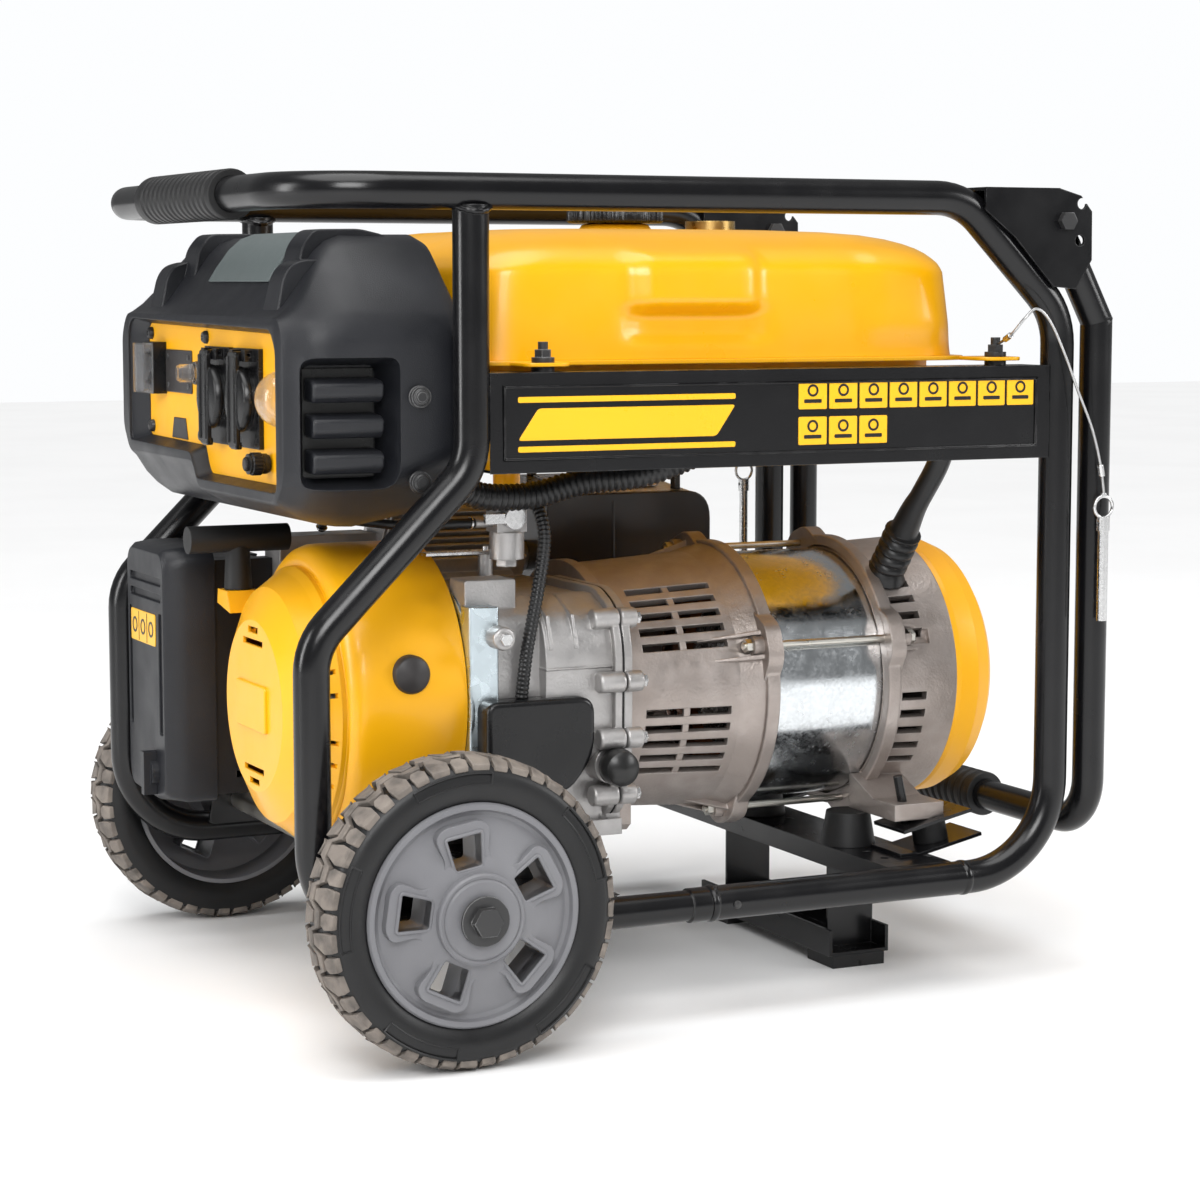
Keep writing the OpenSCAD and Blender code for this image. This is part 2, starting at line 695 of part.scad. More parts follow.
// Ears that carry the through bolts
module bolt_ears(x0, x1) {
    for (a = bolt_angles) rod_x(x0, x1, crank_y - bolt_ring_r * cos(a), crank_z + bolt_ring_r * sin(a), 8);
}
module bolt_holes(x0, x1, r = 3.05) {
    for (a = bolt_angles) rod_x(x0, x1, crank_y - bolt_ring_r * cos(a), crank_z + bolt_ring_r * sin(a), r);
}

module adapter() color(cast_grey) difference() {
    union() {
        turned_x([[0, adapter_x[0]], [108, adapter_x[0]], [108, -46], [104, -42], [110, 60], [116, 80],
            [116, adapter_x[1]], [104.5, adapter_x[1]], [104, 60], [96, -38], [0, -38]]);
        bolt_ears(70, 93);
        prism_x([[-178, 150], [-178, 200], [-110, 170], [0, 150], [0, 144], [-170, 144]], -55.9, -46);
    }
    rod_x(-60, 0, crank_y, crank_z, shaft_r + 4);
    bolt_holes(60, 100);
    bolt_holes(40, 69.98, 7);
    for (a = [-38, 22, 120, 200]) slot_group(a, -25, 52, 7.5);
}

module stator_shell() color(zinc) translate([stator_x[0], crank_y, crank_z]) rotate([0, 90, 0])
    linear_extrude(stator_x[1] - stator_x[0]) ring(stator_r, 4);

module stator_core() color("#7a4a28") turned_x([[70, 108], [76, 100], [96, 100], [96, 106], [103.9, 106],
    [103.9, 186], [96, 186], [96, 192], [76, 192], [70, 184]]);

foot_arm = [[-205, 137], [-205, 151], [-168, 151], [-128, 168], [-128, 137]];

module end_bell() color(cast_grey) difference() {
    union() {
        turned_x([[0, 250], [0, 246], [22, 246], [22, 236], [30, 236], [30, 246], [106, 246], [103, 206],
            [103, bell_x[0]], [108, bell_x[0]], [112, 206], [115, bell_x[1]], [110, bell_x[1]], [108, 252]]);
        bolt_ears(199, 222);
        for (m = [0, 1]) translate([0, m * 2 * crank_y, 0]) mirror([0, m, 0]) difference() {
            prism_x(foot_arm, 190, 238);
            rod_x(0, 400, crank_y, crank_z, 104);
            rod_x(180, stator_x[1] + 0.05, crank_y, crank_z, stator_r + 0.3);
        }
    }
    rod_x(230, 260, crank_y, crank_z, 15 + running_gap);
    bolt_holes(190, 230);
    bolt_holes(222.03, 245, 7);
    for (a = [-38, 22, 120, 200]) slot_group(a, 216, 240, 8);
    for (y = wedge_ys) tilted(y) translate([-40, -40, 0]) cube([100, 80, 26.05]);
    for (y = wedge_ys) tilted(y) translate([3, 0, 20]) cylinder(r = 4.05, h = 60);
    for (p = rear_mounts) rod_z(100, 137.05, p[0], p[1], 30);
}

module end_cap() color(machine_yellow) turned_x([[114, cap_x[0]], [115, 274], [114, 292], [108, 306],
    [98, 314], [80, 317], [0, cap_x[1]], [0, 315], [78, 314], [96, 311], [105, 304], [110.5, 291], [111, cap_x[0]]]);

module through_bolts() color(zinc) for (a = bolt_angles) {
    by = crank_y - bolt_ring_r * cos(a);
    bz = crank_z + bolt_ring_r * sin(a);
    rod_x(62, 228, by, bz, 3);
    translate([222.05, by, bz]) rotate([0, 90, 0]) cylinder(r = 6, h = 5, $fn = 6);
    translate([64, by, bz]) rotate([0, 90, 0]) cylinder(r = 6, h = 5.95, $fn = 6);
}

// ---------- cables ----------

main_route = [[-202, -200, 430], [-180, -197, 424], [-140, -194, 424], [-100, -200, 434], [-50, -212, 440],
    [0, -222, 460], [20, -238, 485]];
sensor_route = [[-128, -172, 418], [-126, -184, 390], [-134, -190, 350], [-146, -194, 300],
    [-150, -192, 262.6]];
hose_route = [[-172.6, -150, 400], [-186, -150, 400], [-206, -142, 399], [-222, -110, 397], [-226, -50, 395],
    [-222, 20, 392], [-213, 80, 387], [-206, 110, 382], [-205, 118, 376]];
lead_route = [[222, -130, 340], [222, -146, 360], [222, -162, 381], [222, -177, 400], [224, -188, 414],
    [229, -204, 440], [232, -216, 470], [233, -236, 504]];
boot_top = 400;

module conduits() color(rubber_black) {
    cord(smooth(main_route, 6), 11, [0, 1, 0], 12);
    cord(smooth(sensor_route, 6), 5.5, [1, 0, 0], 10);
    cord(smooth(hose_route, 4), 4, [0, 0.4, 1], 10);
}

// The lead's first part is a tapered boot
module alternator_lead() color(rubber_black) {
    points = smooth(lead_route, 4);
    radii = [for (p = points) p[2] <= boot_top ? 15 - 5 * (p[2] - 340) / (boot_top - 340) : 10];
    cord(points, radii, [1, 0, 0], 12);
}

// ---------- wheels ----------

module tyre() turned_y([[86.05, -318], [95, -323], [112, -323], [tyre_r, -314], [tyre_r, -274], [112, -265.5],
    [95, -265.5], [86.05, -270]]);

module rim() difference() {
    turned_y([[axle_r + running_gap, -338], [31, -338], [31, -322], [82, -318], [86, -320], [86, -268],
        [81, -268], [81, -309], [28, -312], [28, -266], [axle_r + running_gap, -266]]);
    for (a = [-10 : 72 : 278]) translate([axle_x, 0, axle_z]) rotate([0, a, 0])
        block([-13, -330, 40], [13, -300, 68]);
}

module tyre_near() color(rubber_black) tyre();
module tyre_far() color(rubber_black) mirror([0, 1, 0]) tyre();
module rim_near() color(plastic_grey) rim();
module rim_far() color(plastic_grey) mirror([0, 1, 0]) rim();

// ---------- handle ----------

slant = 28;
elbow_z = pivot[1] - (handle_x - pivot[0]) / tan(slant);
slant_len = (handle_x - pivot[0]) / sin(slant);
overrun = 12;
mitre = 3.4;
drop_len = elbow_z + mitre - grip_z - 40;

module handle_tube() color(steel_black) difference() {
    union() {
        translate([handle_x, -side_y, elbow_z + mitre]) rotate([0, 180, 0])
            bent([[drop_len, 90, 90, 40],
                  [2 * side_y - 80, 0, 90, 40],
                  [drop_len, 0, 0, 0]], handle_r, tube_wall);
        both_sides() translate([pivot[0] - overrun * sin(slant), -side_y, pivot[1] + overrun * cos(slant)])
            rotate([0, 180 - slant, 0]) linear_extrude(slant_len + overrun + mitre) ring(handle_r, tube_wall);
    }
    rod_y(-300, 300, pivot[0], pivot[1], 4 + running_gap);
    rod_y(-300, 300, pivot[0] + lock_hole[0], pivot[1] + lock_hole[1], 4.6);
}

module handle_grip() color(rubber_black) grip_tube(handle_x, grip_z, 90, handle_r + 0.05);

// ---------- lanyards and pins ----------

tank_bolt_x = 264;
near_route = [[tank_bolt_x, -240.4, 541], [262, -262, 549], [268, -272, 562], [279, -273, 570],
    [292, -273, 560], [306, -273, 535], [322, -273, 500], [336, -273, 470], [345, -273, 440],
    [349, -273, 416]];
far_route = [[tank_bolt_x, 240.4, 541], [266, 262, 549], [274, 272, 556], [284, 273, 550],
    [292, 273, 530], [297, 273, 500], [300, 273, 460], [300, 273, 416]];

module lanyard_near() color(zinc) cord(smooth(near_route, 6), 1.2, [0, 1, 0.2]);
module lanyard_far() color(zinc) cord(smooth(far_route, 6), 1.2, [0, 1, 0.2]);

module lock_pin(x, y) {
    difference() {
        union() {
            rod_z(308, 384, x, y, 4.3);
            rod_z(384, 396, x, y, 5.5);
            translate([x, y, 404]) rotate([90, 0, 0]) rotate_extrude()
                translate([9, 0]) circle(1.4, $fn = 16);
        }
        rod_x(x - 10, x + 10, y, 391, 1.6);
    }
    rod_z(413.2, 416, x, y, 2.5);
}
module lock_pin_near() color(zinc) lock_pin(349, -273);
module lock_pin_far() color(zinc) lock_pin(300, 273);

// ---------- fasteners ----------

module black_bolts() color(steel_black) {
    // handle pivots
    both_sides() {
        rod_y(-268, -227, pivot[0], pivot[1], 4);
        hex_y(-272, -266.05, pivot[0], pivot[1], 8);
        hex_y(-231.95, -226, pivot[0], pivot[1], 8);
    }
    // wheel bolts and washers in the axle's ends
    both_sides() {
        rod_y(-341, -338.3, axle_x, axle_z, 19);
        rod_y(-341, -305, axle_x, axle_z, 4);
        hex_y(-348, -341, axle_x, axle_z, 12);
    }
    // tank bolts with their grommets
    for (x = [-150, tank_bolt_x], s = [-1, 1]) {
        rod_z(515, 546, x, s * 235, 4);
        rod_z(523.05, 526.85, x, s * 235, 9);
        rod_z(529.95, 534, x, s * 235, 9);
        translate([x, s * 235, 534]) cylinder(r = 7, h = 6, $fn = 6);
        rod_z(515, 520.95, x, s * 235, 7);
    }
    // side bolts of the control box
    for (s = [-1, 1], z = [440, 505]) {
        rod_y(s * 229 - 10, s * 229 + 10, -252, z, 4);
        rod_y(s > 0 ? 232.05 : -237, s > 0 ? 237 : -232.05, -252, z, 8);
    }
    // panel screws
    for (p = screw_spots) {
        rod_x(panel_x - 3, panel_x - 0.05, p[0], p[1], 4.5);
        rod_x(panel_x - 1, panel_x + 8, p[0], p[1], 2.5);
    }
}

main_tube();
front_legs();
side_beams();
cross_beams();
corner_brackets();
foot_pads();
front_grip();
axle();
black_bolts();
rubber_mounts();
mount_plates();
fuel_tank();
fuel_gauge();
fuel_tap();
control_box();
control_panel();
breaker_block();
clear_covers();
socket_bodies();
ground_terminal();
engine_block();
cylinder_head();
recoil_cover();
fan_shroud();
filter_case();
filter_cover();
carburettor();
muffler();
muffler_shield();
oil_sensor_cover();
adapter();
stator_shell();
stator_core();
end_bell();
end_cap();
through_bolts();
conduits();
alternator_lead();
fuel_cap();
tap_lever();
breaker_toggle();
reset_button();
socket_lid_1();
socket_lid_2();
filter_knob();
dipstick();
throttle_lever();
recoil_grip();
rotor();
flywheel();
tyre_near();
rim_near();
tyre_far();
rim_far();
handle_tube();
handle_grip();
lanyard_near();
lanyard_far();
lock_pin_near();
lock_pin_far();
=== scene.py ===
import math

import bmesh
import bpy
from mathutils import Matrix, Vector


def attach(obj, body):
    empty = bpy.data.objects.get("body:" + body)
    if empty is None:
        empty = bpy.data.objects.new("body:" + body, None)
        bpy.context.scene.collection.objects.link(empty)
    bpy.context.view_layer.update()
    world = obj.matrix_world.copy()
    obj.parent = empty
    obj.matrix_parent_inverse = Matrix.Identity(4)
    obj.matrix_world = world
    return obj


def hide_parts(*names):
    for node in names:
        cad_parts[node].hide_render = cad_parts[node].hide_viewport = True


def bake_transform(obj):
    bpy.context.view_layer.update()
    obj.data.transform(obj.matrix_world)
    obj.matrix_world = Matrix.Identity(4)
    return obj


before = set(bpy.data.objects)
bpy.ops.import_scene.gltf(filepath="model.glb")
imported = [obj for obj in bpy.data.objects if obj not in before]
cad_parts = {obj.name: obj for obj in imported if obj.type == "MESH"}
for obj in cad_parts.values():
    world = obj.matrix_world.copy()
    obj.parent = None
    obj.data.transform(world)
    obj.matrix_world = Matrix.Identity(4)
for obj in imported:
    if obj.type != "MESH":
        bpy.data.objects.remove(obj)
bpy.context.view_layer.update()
MM = 0.001  # every shape below is written in millimetres

# ---------------------------------------------------------------- camera
EYE = Vector((-1.0725, -2.2779, 0.591))
YAW, PITCH = math.radians(25.43), math.radians(6.26)
link = bpy.context.scene.collection.objects.link
camera = bpy.data.objects.new("camera", bpy.data.cameras.new("camera"))
link(camera)
camera.data.lens, camera.data.sensor_width = 86.69, 36.0
camera.data.clip_start, camera.data.clip_end = 0.05, 50
camera.location = EYE
look_way = Vector((math.sin(YAW) * math.cos(PITCH), math.cos(YAW) * math.cos(PITCH), -math.sin(PITCH)))
camera.rotation_mode = "QUATERNION"
camera.rotation_quaternion = look_way.to_track_quat("-Z", "Y")
bpy.context.scene.camera = camera
bpy.context.scene.view_settings.view_transform = "Standard"


# ---------------------------------------------------------------- materials
class Look:
    """A procedural material built up around one Principled shader."""

    def __init__(self, name, colour, rough, metal=0.0, coat=0.0, spread=0.08, spread_scale=30, gloss=0.5):
        self.material = bpy.data.materials.new(name)
        self.material.use_nodes = True
        tree = self.material.node_tree
        self.nodes, self.links = tree.nodes, tree.links
        self.shader = self.nodes["Principled BSDF"]
        self.place = self.nodes.new("ShaderNodeTexCoord").outputs["Object"]
        self.shader.inputs["Metallic"].default_value = metal
        self.shader.inputs["Coat Weight"].default_value = coat
        self.shader.inputs["Specular IOR Level"].default_value = gloss
        self.shader.inputs["Coat Roughness"].default_value = 0.08
        plain = self.nodes.new("ShaderNodeRGB")
        plain.outputs[0].default_value = (*colour, 1)
        self.colour = plain.outputs[0]
        self.normal = None
        self.rough = self.scaled(self.noise(spread_scale, 5), 0.3, 0.7, rough - spread, rough + spread)

    def noise(self, scale, detail=3, stretch=None):
        n = self.nodes.new("ShaderNodeTexNoise")
        n.inputs["Scale"].default_value = scale
        n.inputs["Detail"].default_value = detail
        self.links.new(self.stretched(stretch), n.inputs["Vector"])
        return n.outputs["Fac"]

    def stretched(self, stretch):
        if stretch is None:
            return self.place
        s = self.nodes.new("ShaderNodeMapping")
        s.inputs["Scale"].default_value = stretch
        self.links.new(self.place, s.inputs["Vector"])
        return s.outputs["Vector"]

    def cells(self, scale):
        n = self.nodes.new("ShaderNodeTexVoronoi")
        n.inputs["Scale"].default_value = scale
        self.links.new(self.place, n.inputs["Vector"])
        return n.outputs["Color"]

    def scaled(self, value, from_low, from_high, to_low, to_high):
        n = self.nodes.new("ShaderNodeMapRange")
        self.links.new(value, n.inputs["Value"])
        ends = {"From Min": from_low, "From Max": from_high, "To Min": to_low, "To Max": to_high}
        for key, v in ends.items():
            n.inputs[key].default_value = v
        return n.outputs["Result"]

    def times(self, a, b, operation="MULTIPLY"):
        n = self.nodes.new("ShaderNodeMath")
        n.operation = operation
        for i, v in enumerate((a, b)):
            if isinstance(v, (int, float)):
                n.inputs[i].default_value = v
            else:
                self.links.new(v, n.inputs[i])
        return n.outputs[0]

    def over(self, colour, amount):
        """Lays a colour over what is there, as much as amount says."""
        n = self.nodes.new("ShaderNodeMix")
        n.data_type = "RGBA"
        self.links.new(amount, n.inputs["Factor"])
        self.links.new(self.colour, n.inputs["A"])
        n.inputs["B"].default_value = (*colour, 1)
        self.colour = n.outputs["Result"]
        return self

    def mottled(self, colour, scale, low=0.4, high=0.65, most=1.0, detail=4, stretch=None):
        return self.over(colour, self.scaled(self.noise(scale, detail, stretch), low, high, 0, most))

    def rougher(self, amount, by):
        self.rough = self.times(self.times(amount, by), self.rough, "ADD")
        return self

    def rounded(self, radius, wear=None, amount=0.6, wear_scale=60):
        """Softens sharp edges, and with a wear colour rubs them."""
        n = self.nodes.new("ShaderNodeBevel")
        n.samples = 4
        n.inputs["Radius"].default_value = radius
        self.normal = n.outputs["Normal"]
        if wear is not None:
            geometry = self.nodes.new("ShaderNodeNewGeometry")
            dot = self.nodes.new("ShaderNodeVectorMath")
            dot.operation = "DOT_PRODUCT"
            self.links.new(n.outputs["Normal"], dot.inputs[0])
            self.links.new(geometry.outputs["Normal"], dot.inputs[1])
            edge = self.scaled(dot.outputs["Value"], 0.98, 0.8, 0, amount)
            self.over(wear, self.times(edge, self.scaled(self.noise(wear_scale, 4), 0.45, 0.6, 0, 1)))
        return self

    def bumped(self, height, depth):
        n = self.nodes.new("ShaderNodeBump")
        n.inputs["Distance"].default_value = depth
        n.inputs["Strength"].default_value = 1.0
        self.links.new(height, n.inputs["Height"])
        if self.normal is not None:
            self.links.new(self.normal, n.inputs["Normal"])
        self.normal = n.outputs["Normal"]
        return self

    def upward(self, low=0.2, high=0.9):
        """How much the surface faces up."""
        geometry = self.nodes.new("ShaderNodeNewGeometry")
        split = self.nodes.new("ShaderNodeSeparateXYZ")
        self.links.new(geometry.outputs["Normal"], split.inputs[0])
        return self.scaled(split.outputs["Z"], low, high, 0, 1)

    def dusty(self, colour=(0.45, 0.42, 0.38), most=0.25):
        patch = self.scaled(self.noise(14, 5), 0.4, 0.7, 0.2, 1)
        dust = self.times(self.times(self.upward(), patch), most)
        self.over(colour, dust)
        return self.rougher(dust, 0.5)

    def done(self):
        self.links.new(self.colour, self.shader.inputs["Base Color"])
        self.links.new(self.rough, self.shader.inputs["Roughness"])
        if self.normal is not None:
            self.links.new(self.normal, self.shader.inputs["Normal"])
        return self.material


def painted(name, colour, rough, dark, coat=0.0, grain=0.00003, wear=None, gloss=0.45, dust=0.04):
    look = Look(name, colour, rough, coat=coat, spread=0.05, gloss=gloss)
    look.mottled(dark, 9, 0.4, 0.75, 0.5).rounded(0.0012, wear, 0.7)
    return look.bumped(look.noise(900, 2), grain).dusty(most=dust).done()


YELLOW, DEEP_YELLOW = (0.88, 0.42, 0.001), (0.82, 0.37, 0.001)
black_paint = painted("black_powder_coat", (0.003, 0.003, 0.0036), 0.23, (0.006, 0.006, 0.007),
                      wear=(0.1, 0.1, 0.1), gloss=0.38, dust=0.008)
yellow_paint = painted("yellow_powder_coat", YELLOW, 0.38, DEEP_YELLOW, coat=0.15)
yellow_plastic = painted("yellow_moulding", YELLOW, 0.44, DEEP_YELLOW, coat=0.05, grain=0.00006)
black_bolt_look = painted("black_oxide", (0.02, 0.02, 0.021), 0.34, (0.035, 0.034, 0.033),
                          wear=(0.4, 0.4, 0.4))


def plastic(name, colour, rough, pale, grain, grain_scale=1100, most=0.35, gloss=0.4):
    look = Look(name, colour, rough, spread=0.06, gloss=gloss)
    look.mottled(pale, 16, 0.35, 0.75, most).rounded(0.0012, pale, 0.5, 30)
    look.bumped(look.noise(grain_scale, 3), grain)
    return look.dusty((0.3, 0.29, 0.27), 0.015).done()


grey_plastic = plastic("charcoal_textured_plastic", (0.0085, 0.0092, 0.0118), 0.42, (0.015, 0.016, 0.02),
                       0.0002)
black_plastic = plastic("black_plastic", (0.0035, 0.0035, 0.004), 0.28, (0.007, 0.007, 0.008), 0.00005)
insert_plastic = plastic("pale_grey_plastic", (0.1, 0.12, 0.12), 0.5, (0.13, 0.15, 0.15), 0.00008)
rim_plastic = plastic("wheel_plastic", (0.145, 0.145, 0.155), 0.42, (0.19, 0.19, 0.2), 0.00006, 700, 0.6)
rubber = plastic("rubber", (0.006, 0.006, 0.0065), 0.5, (0.011, 0.011, 0.011), 0.0001)
hose_rubber = plastic("hose_rubber", (0.006, 0.006, 0.0065), 0.36, (0.012, 0.012, 0.0125), 0.00004)
dark_panel = plastic("dark_panel", (0.03, 0.027, 0.027), 0.42, (0.04, 0.037, 0.035), 0.00005)


def cast(name, colour, pale, dark):
    look = Look(name, colour, 0.42, metal=0.75, spread=0.1, spread_scale=60)
    look.mottled(pale, 35, 0.45, 0.7, 0.6).mottled(dark, 7, 0.5, 0.75, 0.55)
    look.rounded(0.0016, (0.6, 0.58, 0.56), 0.5, 80)
    look.bumped(look.noise(420, 4), 0.00035).bumped(look.noise(60, 3), 0.0006)
    return look.dusty(most=0.05).done()


cast_taupe = cast("cast_alternator_alloy", (0.36, 0.315, 0.29), (0.47, 0.42, 0.395), (0.25, 0.205, 0.175))
cast_grey = cast("cast_engine_alloy", (0.4, 0.39, 0.385), (0.52, 0.505, 0.5), (0.27, 0.25, 0.235))


def plated(name, colour, rough, spangle, contrast):
    """Zinc plate: crystals that differ in brightness and gloss, with faint streaks."""
    look = Look(name, colour, rough, metal=1.0, spread=0.07, spread_scale=50)
    split = look.nodes.new("ShaderNodeSeparateColor")
    look.links.new(look.cells(spangle), split.inputs[0])
    crystal = split.outputs[0]
    look.over(tuple(c * 0.55 for c in colour), look.scaled(crystal, 0, 1, 0, contrast * 2))
    look.rougher(look.scaled(crystal, 0, 1, -0.5, 0.5), contrast)
    look.mottled(tuple(c * 0.86 for c in colour), 40, 0.45, 0.75, 0.4, 5, (0.25, 1, 1))
    look.rounded(0.0008)
    return look.bumped(look.noise(300, 3), 0.00002).done()


galvanised = plated("galvanised_shell", (0.68, 0.71, 0.73), 0.19, 380, 0.11)
zinc = plated("bright_zinc", (0.66, 0.66, 0.66), 0.26, 400, 0.1)
rod_zinc = plated("zinc_rod", (0.6, 0.58, 0.53), 0.34, 60, 0.02)
pressed_zinc = plated("zinc_sheet", (0.58, 0.66, 0.7), 0.3, 120, 0.12)
wire_steel = plated("wire_rope_steel", (0.5, 0.5, 0.5), 0.35, 900, 0.1)
gauge_brass = plated("gauge_brass", (0.55, 0.38, 0.14), 0.3, 300, 0.08)
muffler_top = plated("aluminised_sheet", (0.68, 0.68, 0.69), 0.35, 200, 0.15)
heat_black = painted("heat_black", (0.014, 0.012, 0.011), 0.34, (0.05, 0.032, 0.024), coat=0.1)

copper = Look("varnished_copper", (0.36, 0.13, 0.05), 0.35, metal=0.6)
copper.mottled((0.2, 0.07, 0.03), 80, 0.4, 0.6, 0.8)
copper = copper.bumped(copper.noise(700, 2, (0.1, 1, 1)), 0.0004).done()

# the tread is dusty on its running surface and black in its grooves and on the walls
tyre_look = Look("tyre_rubber", (0.005, 0.005, 0.0055), 0.42, spread=0.06, gloss=0.38)
tyre_look.mottled((0.01, 0.01, 0.0105), 20, 0.4, 0.7, 0.6)
tyre_look = tyre_look.bumped(tyre_look.noise(600, 3), 0.0001).done()
tread_look = Look("dusty_tread", (0.17, 0.145, 0.125), 0.78, spread=0.06)
tread_look.mottled((0.07, 0.062, 0.055), 70, 0.42, 0.68, 0.85).mottled((0.27, 0.235, 0.2), 30, 0.5, 0.75, 0.7)
tread_look = tread_look.bumped(tread_look.noise(500, 4), 0.0003).done()


def clear(name, tint):
    look = Look(name, tint, 0.05, spread=0.02)
    look.mottled(tuple(c * 0.95 for c in tint), 40)
    look.shader.inputs["Transmission Weight"].default_value = 0.93
    look.shader.inputs["IOR"].default_value = 1.45
    look.shader.inputs["Alpha"].default_value = 0.5
    return look.done()


clear_plastic = clear("clear_polycarbonate", (0.95, 0.96, 0.98))

label_black = plastic("label_black", (0.01, 0.01, 0.01), 0.3, (0.015, 0.015, 0.015), 0.00001)
label_yellow = painted("label_yellow", (0.85, 0.45, 0.01), 0.3, (0.8, 0.42, 0.01))
tank_look = painted("tank_enamel", YELLOW, 0.32, (0.83, 0.38, 0.001), coat=0.2, grain=0.00002)


# ---------------------------------------------------------------- mesh helpers
def place(axis, a, b, h):
    """A point from two coordinates across an axis and one along it."""
    return Vector({"x": (h, a, b), "y": (a, h, b), "z": (a, b, h)}[axis])


def skin(bm, loops, closed_ends=True, closed_round=True, wrap=False):
    """Faces between loops that all have the same number of points."""
    rows = [[bm.verts.new(p) for p in loop] for loop in loops]
    n = len(rows[0])
    pairs = list(zip(rows, rows[1:])) + ([(rows[-1], rows[0])] if wrap else [])
    for low, high in pairs:
        for i in range(n if closed_round else n - 1):
            j = (i + 1) % n
            bm.faces.new((low[i], low[j], high[j], high[i]))
    if closed_ends and not wrap:
        bm.faces.new(rows[0][::-1])
        bm.faces.new(rows[-1])
    return rows


def ring(axis, centre, radii, h):
    """A loop round an axis that takes its radius at each step from a list."""
    turns = [2 * math.pi * k / len(radii) for k in range(len(radii))]
    return [place(axis, centre[0] + r * math.cos(a), centre[1] + r * math.sin(a), h)
            for r, a in zip(radii, turns)]


def turned(bm, profile, axis, centre, steps=96, wrap=True):
    """A profile of (radius, height) turned about an axis through centre."""
    skin(bm, [ring(axis, centre, [r] * steps, h) for r, h in profile], closed_ends=not wrap, wrap=wrap)


def prism(bm, outline, axis, low, high):
    skin(bm, [[place(axis, a, b, h) for a, b in outline] for h in (low, high)])


def box(bm, low, high, turn=None):
    loops = [[Vector((a, b, h)) for a, b in rectangle(low, high)] for h in (low[2], high[2])]
    if turn is not None:
        loops = [[turn @ p for p in loop] for loop in loops]
    skin(bm, loops)


def rounded(points, radius, n=6):
    """An outline whose corners are rounded; radius is one number or one for each corner."""
    made = []
    for i, p in enumerate(points):
        r = radius[i] if isinstance(radius, (list, tuple)) else radius
        p, before, after = Vector(p), Vector(points[i - 1]), Vector(points[(i + 1) % len(points)])
        a, b = before - p, after - p
        reach = min(r, a.length * 0.48, b.length * 0.48)
        start, end = p + a.normalized() * reach, p + b.normalized() * reach
        for k in range(n + 1):
            t = k / n
            made.append(tuple(start * (1 - t) ** 2 + p * 2 * t * (1 - t) + end * t * t))
    return made


def rectangle(low, high):
    return [(low[0], low[1]), (high[0], low[1]), (high[0], high[1]), (low[0], high[1])]


def tile(low, high, radius, n):
    """The outline of a rectangle with round corners."""
    return rounded(rectangle(low, high), radius, n)


def smooth(points, n):
    """A smooth curve through the points, n steps in each gap."""
    p = [Vector(q) for q in points]
    p = [p[0]] + p + [p[-1]]
    made = []
    for i in range(1, len(p) - 2):
        for k in range(n):
            t = k / n
            made.append(0.5 * (2 * p[i] + (p[i + 1] - p[i - 1]) * t
                               + (2 * p[i - 1] - 5 * p[i] + 4 * p[i + 1] - p[i + 2]) * t * t
                               + (3 * p[i] - p[i - 1] - 3 * p[i + 1] + p[i + 2]) * t ** 3))
    return made + [p[-2]]


def resample(path, step):
    """Points a fixed step apart along a path."""
    made, left = [path[0]], step
    for a, b in zip(path, path[1:]):
        length = (b - a).length
        while left <= length:
            made.append(a + (b - a) * (left / length))
            left += step
        left -= length
    return made + [path[-1]]


def sweep(bm, path, radius, sides=16, closed=False):
    """A tube along a path; radius is one number or one for each point."""
    path = [Vector(p) for p in path]
    n = len(path)
    along = []
    for i in range(n):
        a, b = (path[i - 1], path[(i + 1) % n]) if closed else (path[max(0, i - 1)], path[min(n - 1, i + 1)])
        along.append((b - a).normalized())
    side = along[0].orthogonal().normalized()
    loops = []
    for i in range(n):
        side = (side - along[i] * side.dot(along[i])).normalized()
        other = along[i].cross(side)
        r = radius[i] if isinstance(radius, (list, tuple)) else radius
        loops.append([path[i] + r * (math.cos(2 * math.pi * k / sides) * side
                                     + math.sin(2 * math.pi * k / sides) * other) for k in range(sides)])
    skin(bm, loops, wrap=closed)


def hexagon(bm, axis, centre, radius, low, high):
    turned(bm, [(radius * 0.9, low), (radius, low + 0.4), (radius, high - 0.6), (radius * 0.9, high)],
           axis, centre, 6, wrap=False)


def bevelled(obj, width, segments=3, angle=30):
    m = obj.modifiers.new("bevel", "BEVEL")
    m.width, m.segments, m.limit_method, m.angle_limit = width * MM, segments, "ANGLE", math.radians(angle)


def piece(name, bm, material, body="frame", bevel=0.0, segments=2, angle=35, replaces=(), ride=True):
    """Turns the mesh into a named piece of the model on its body."""
    bmesh.ops.remove_doubles(bm, verts=bm.verts, dist=0.0005)
    bmesh.ops.recalc_face_normals(bm, faces=bm.faces)
    bm.transform(Matrix.Scale(MM, 4))
    mesh = bpy.data.meshes.new(name)
    bm.to_mesh(mesh)
    bm.free()
    mesh.materials.append(material)
    o = bpy.data.objects.new(name, mesh)
    link(o)
    mesh.shade_smooth()
    mesh.set_sharp_from_angle(angle=math.radians(angle))
    if bevel:
        bevelled(o, bevel, segments, angle)
    if ride:
        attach(o, body)
    if replaces:
        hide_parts(*replaces)
    return o


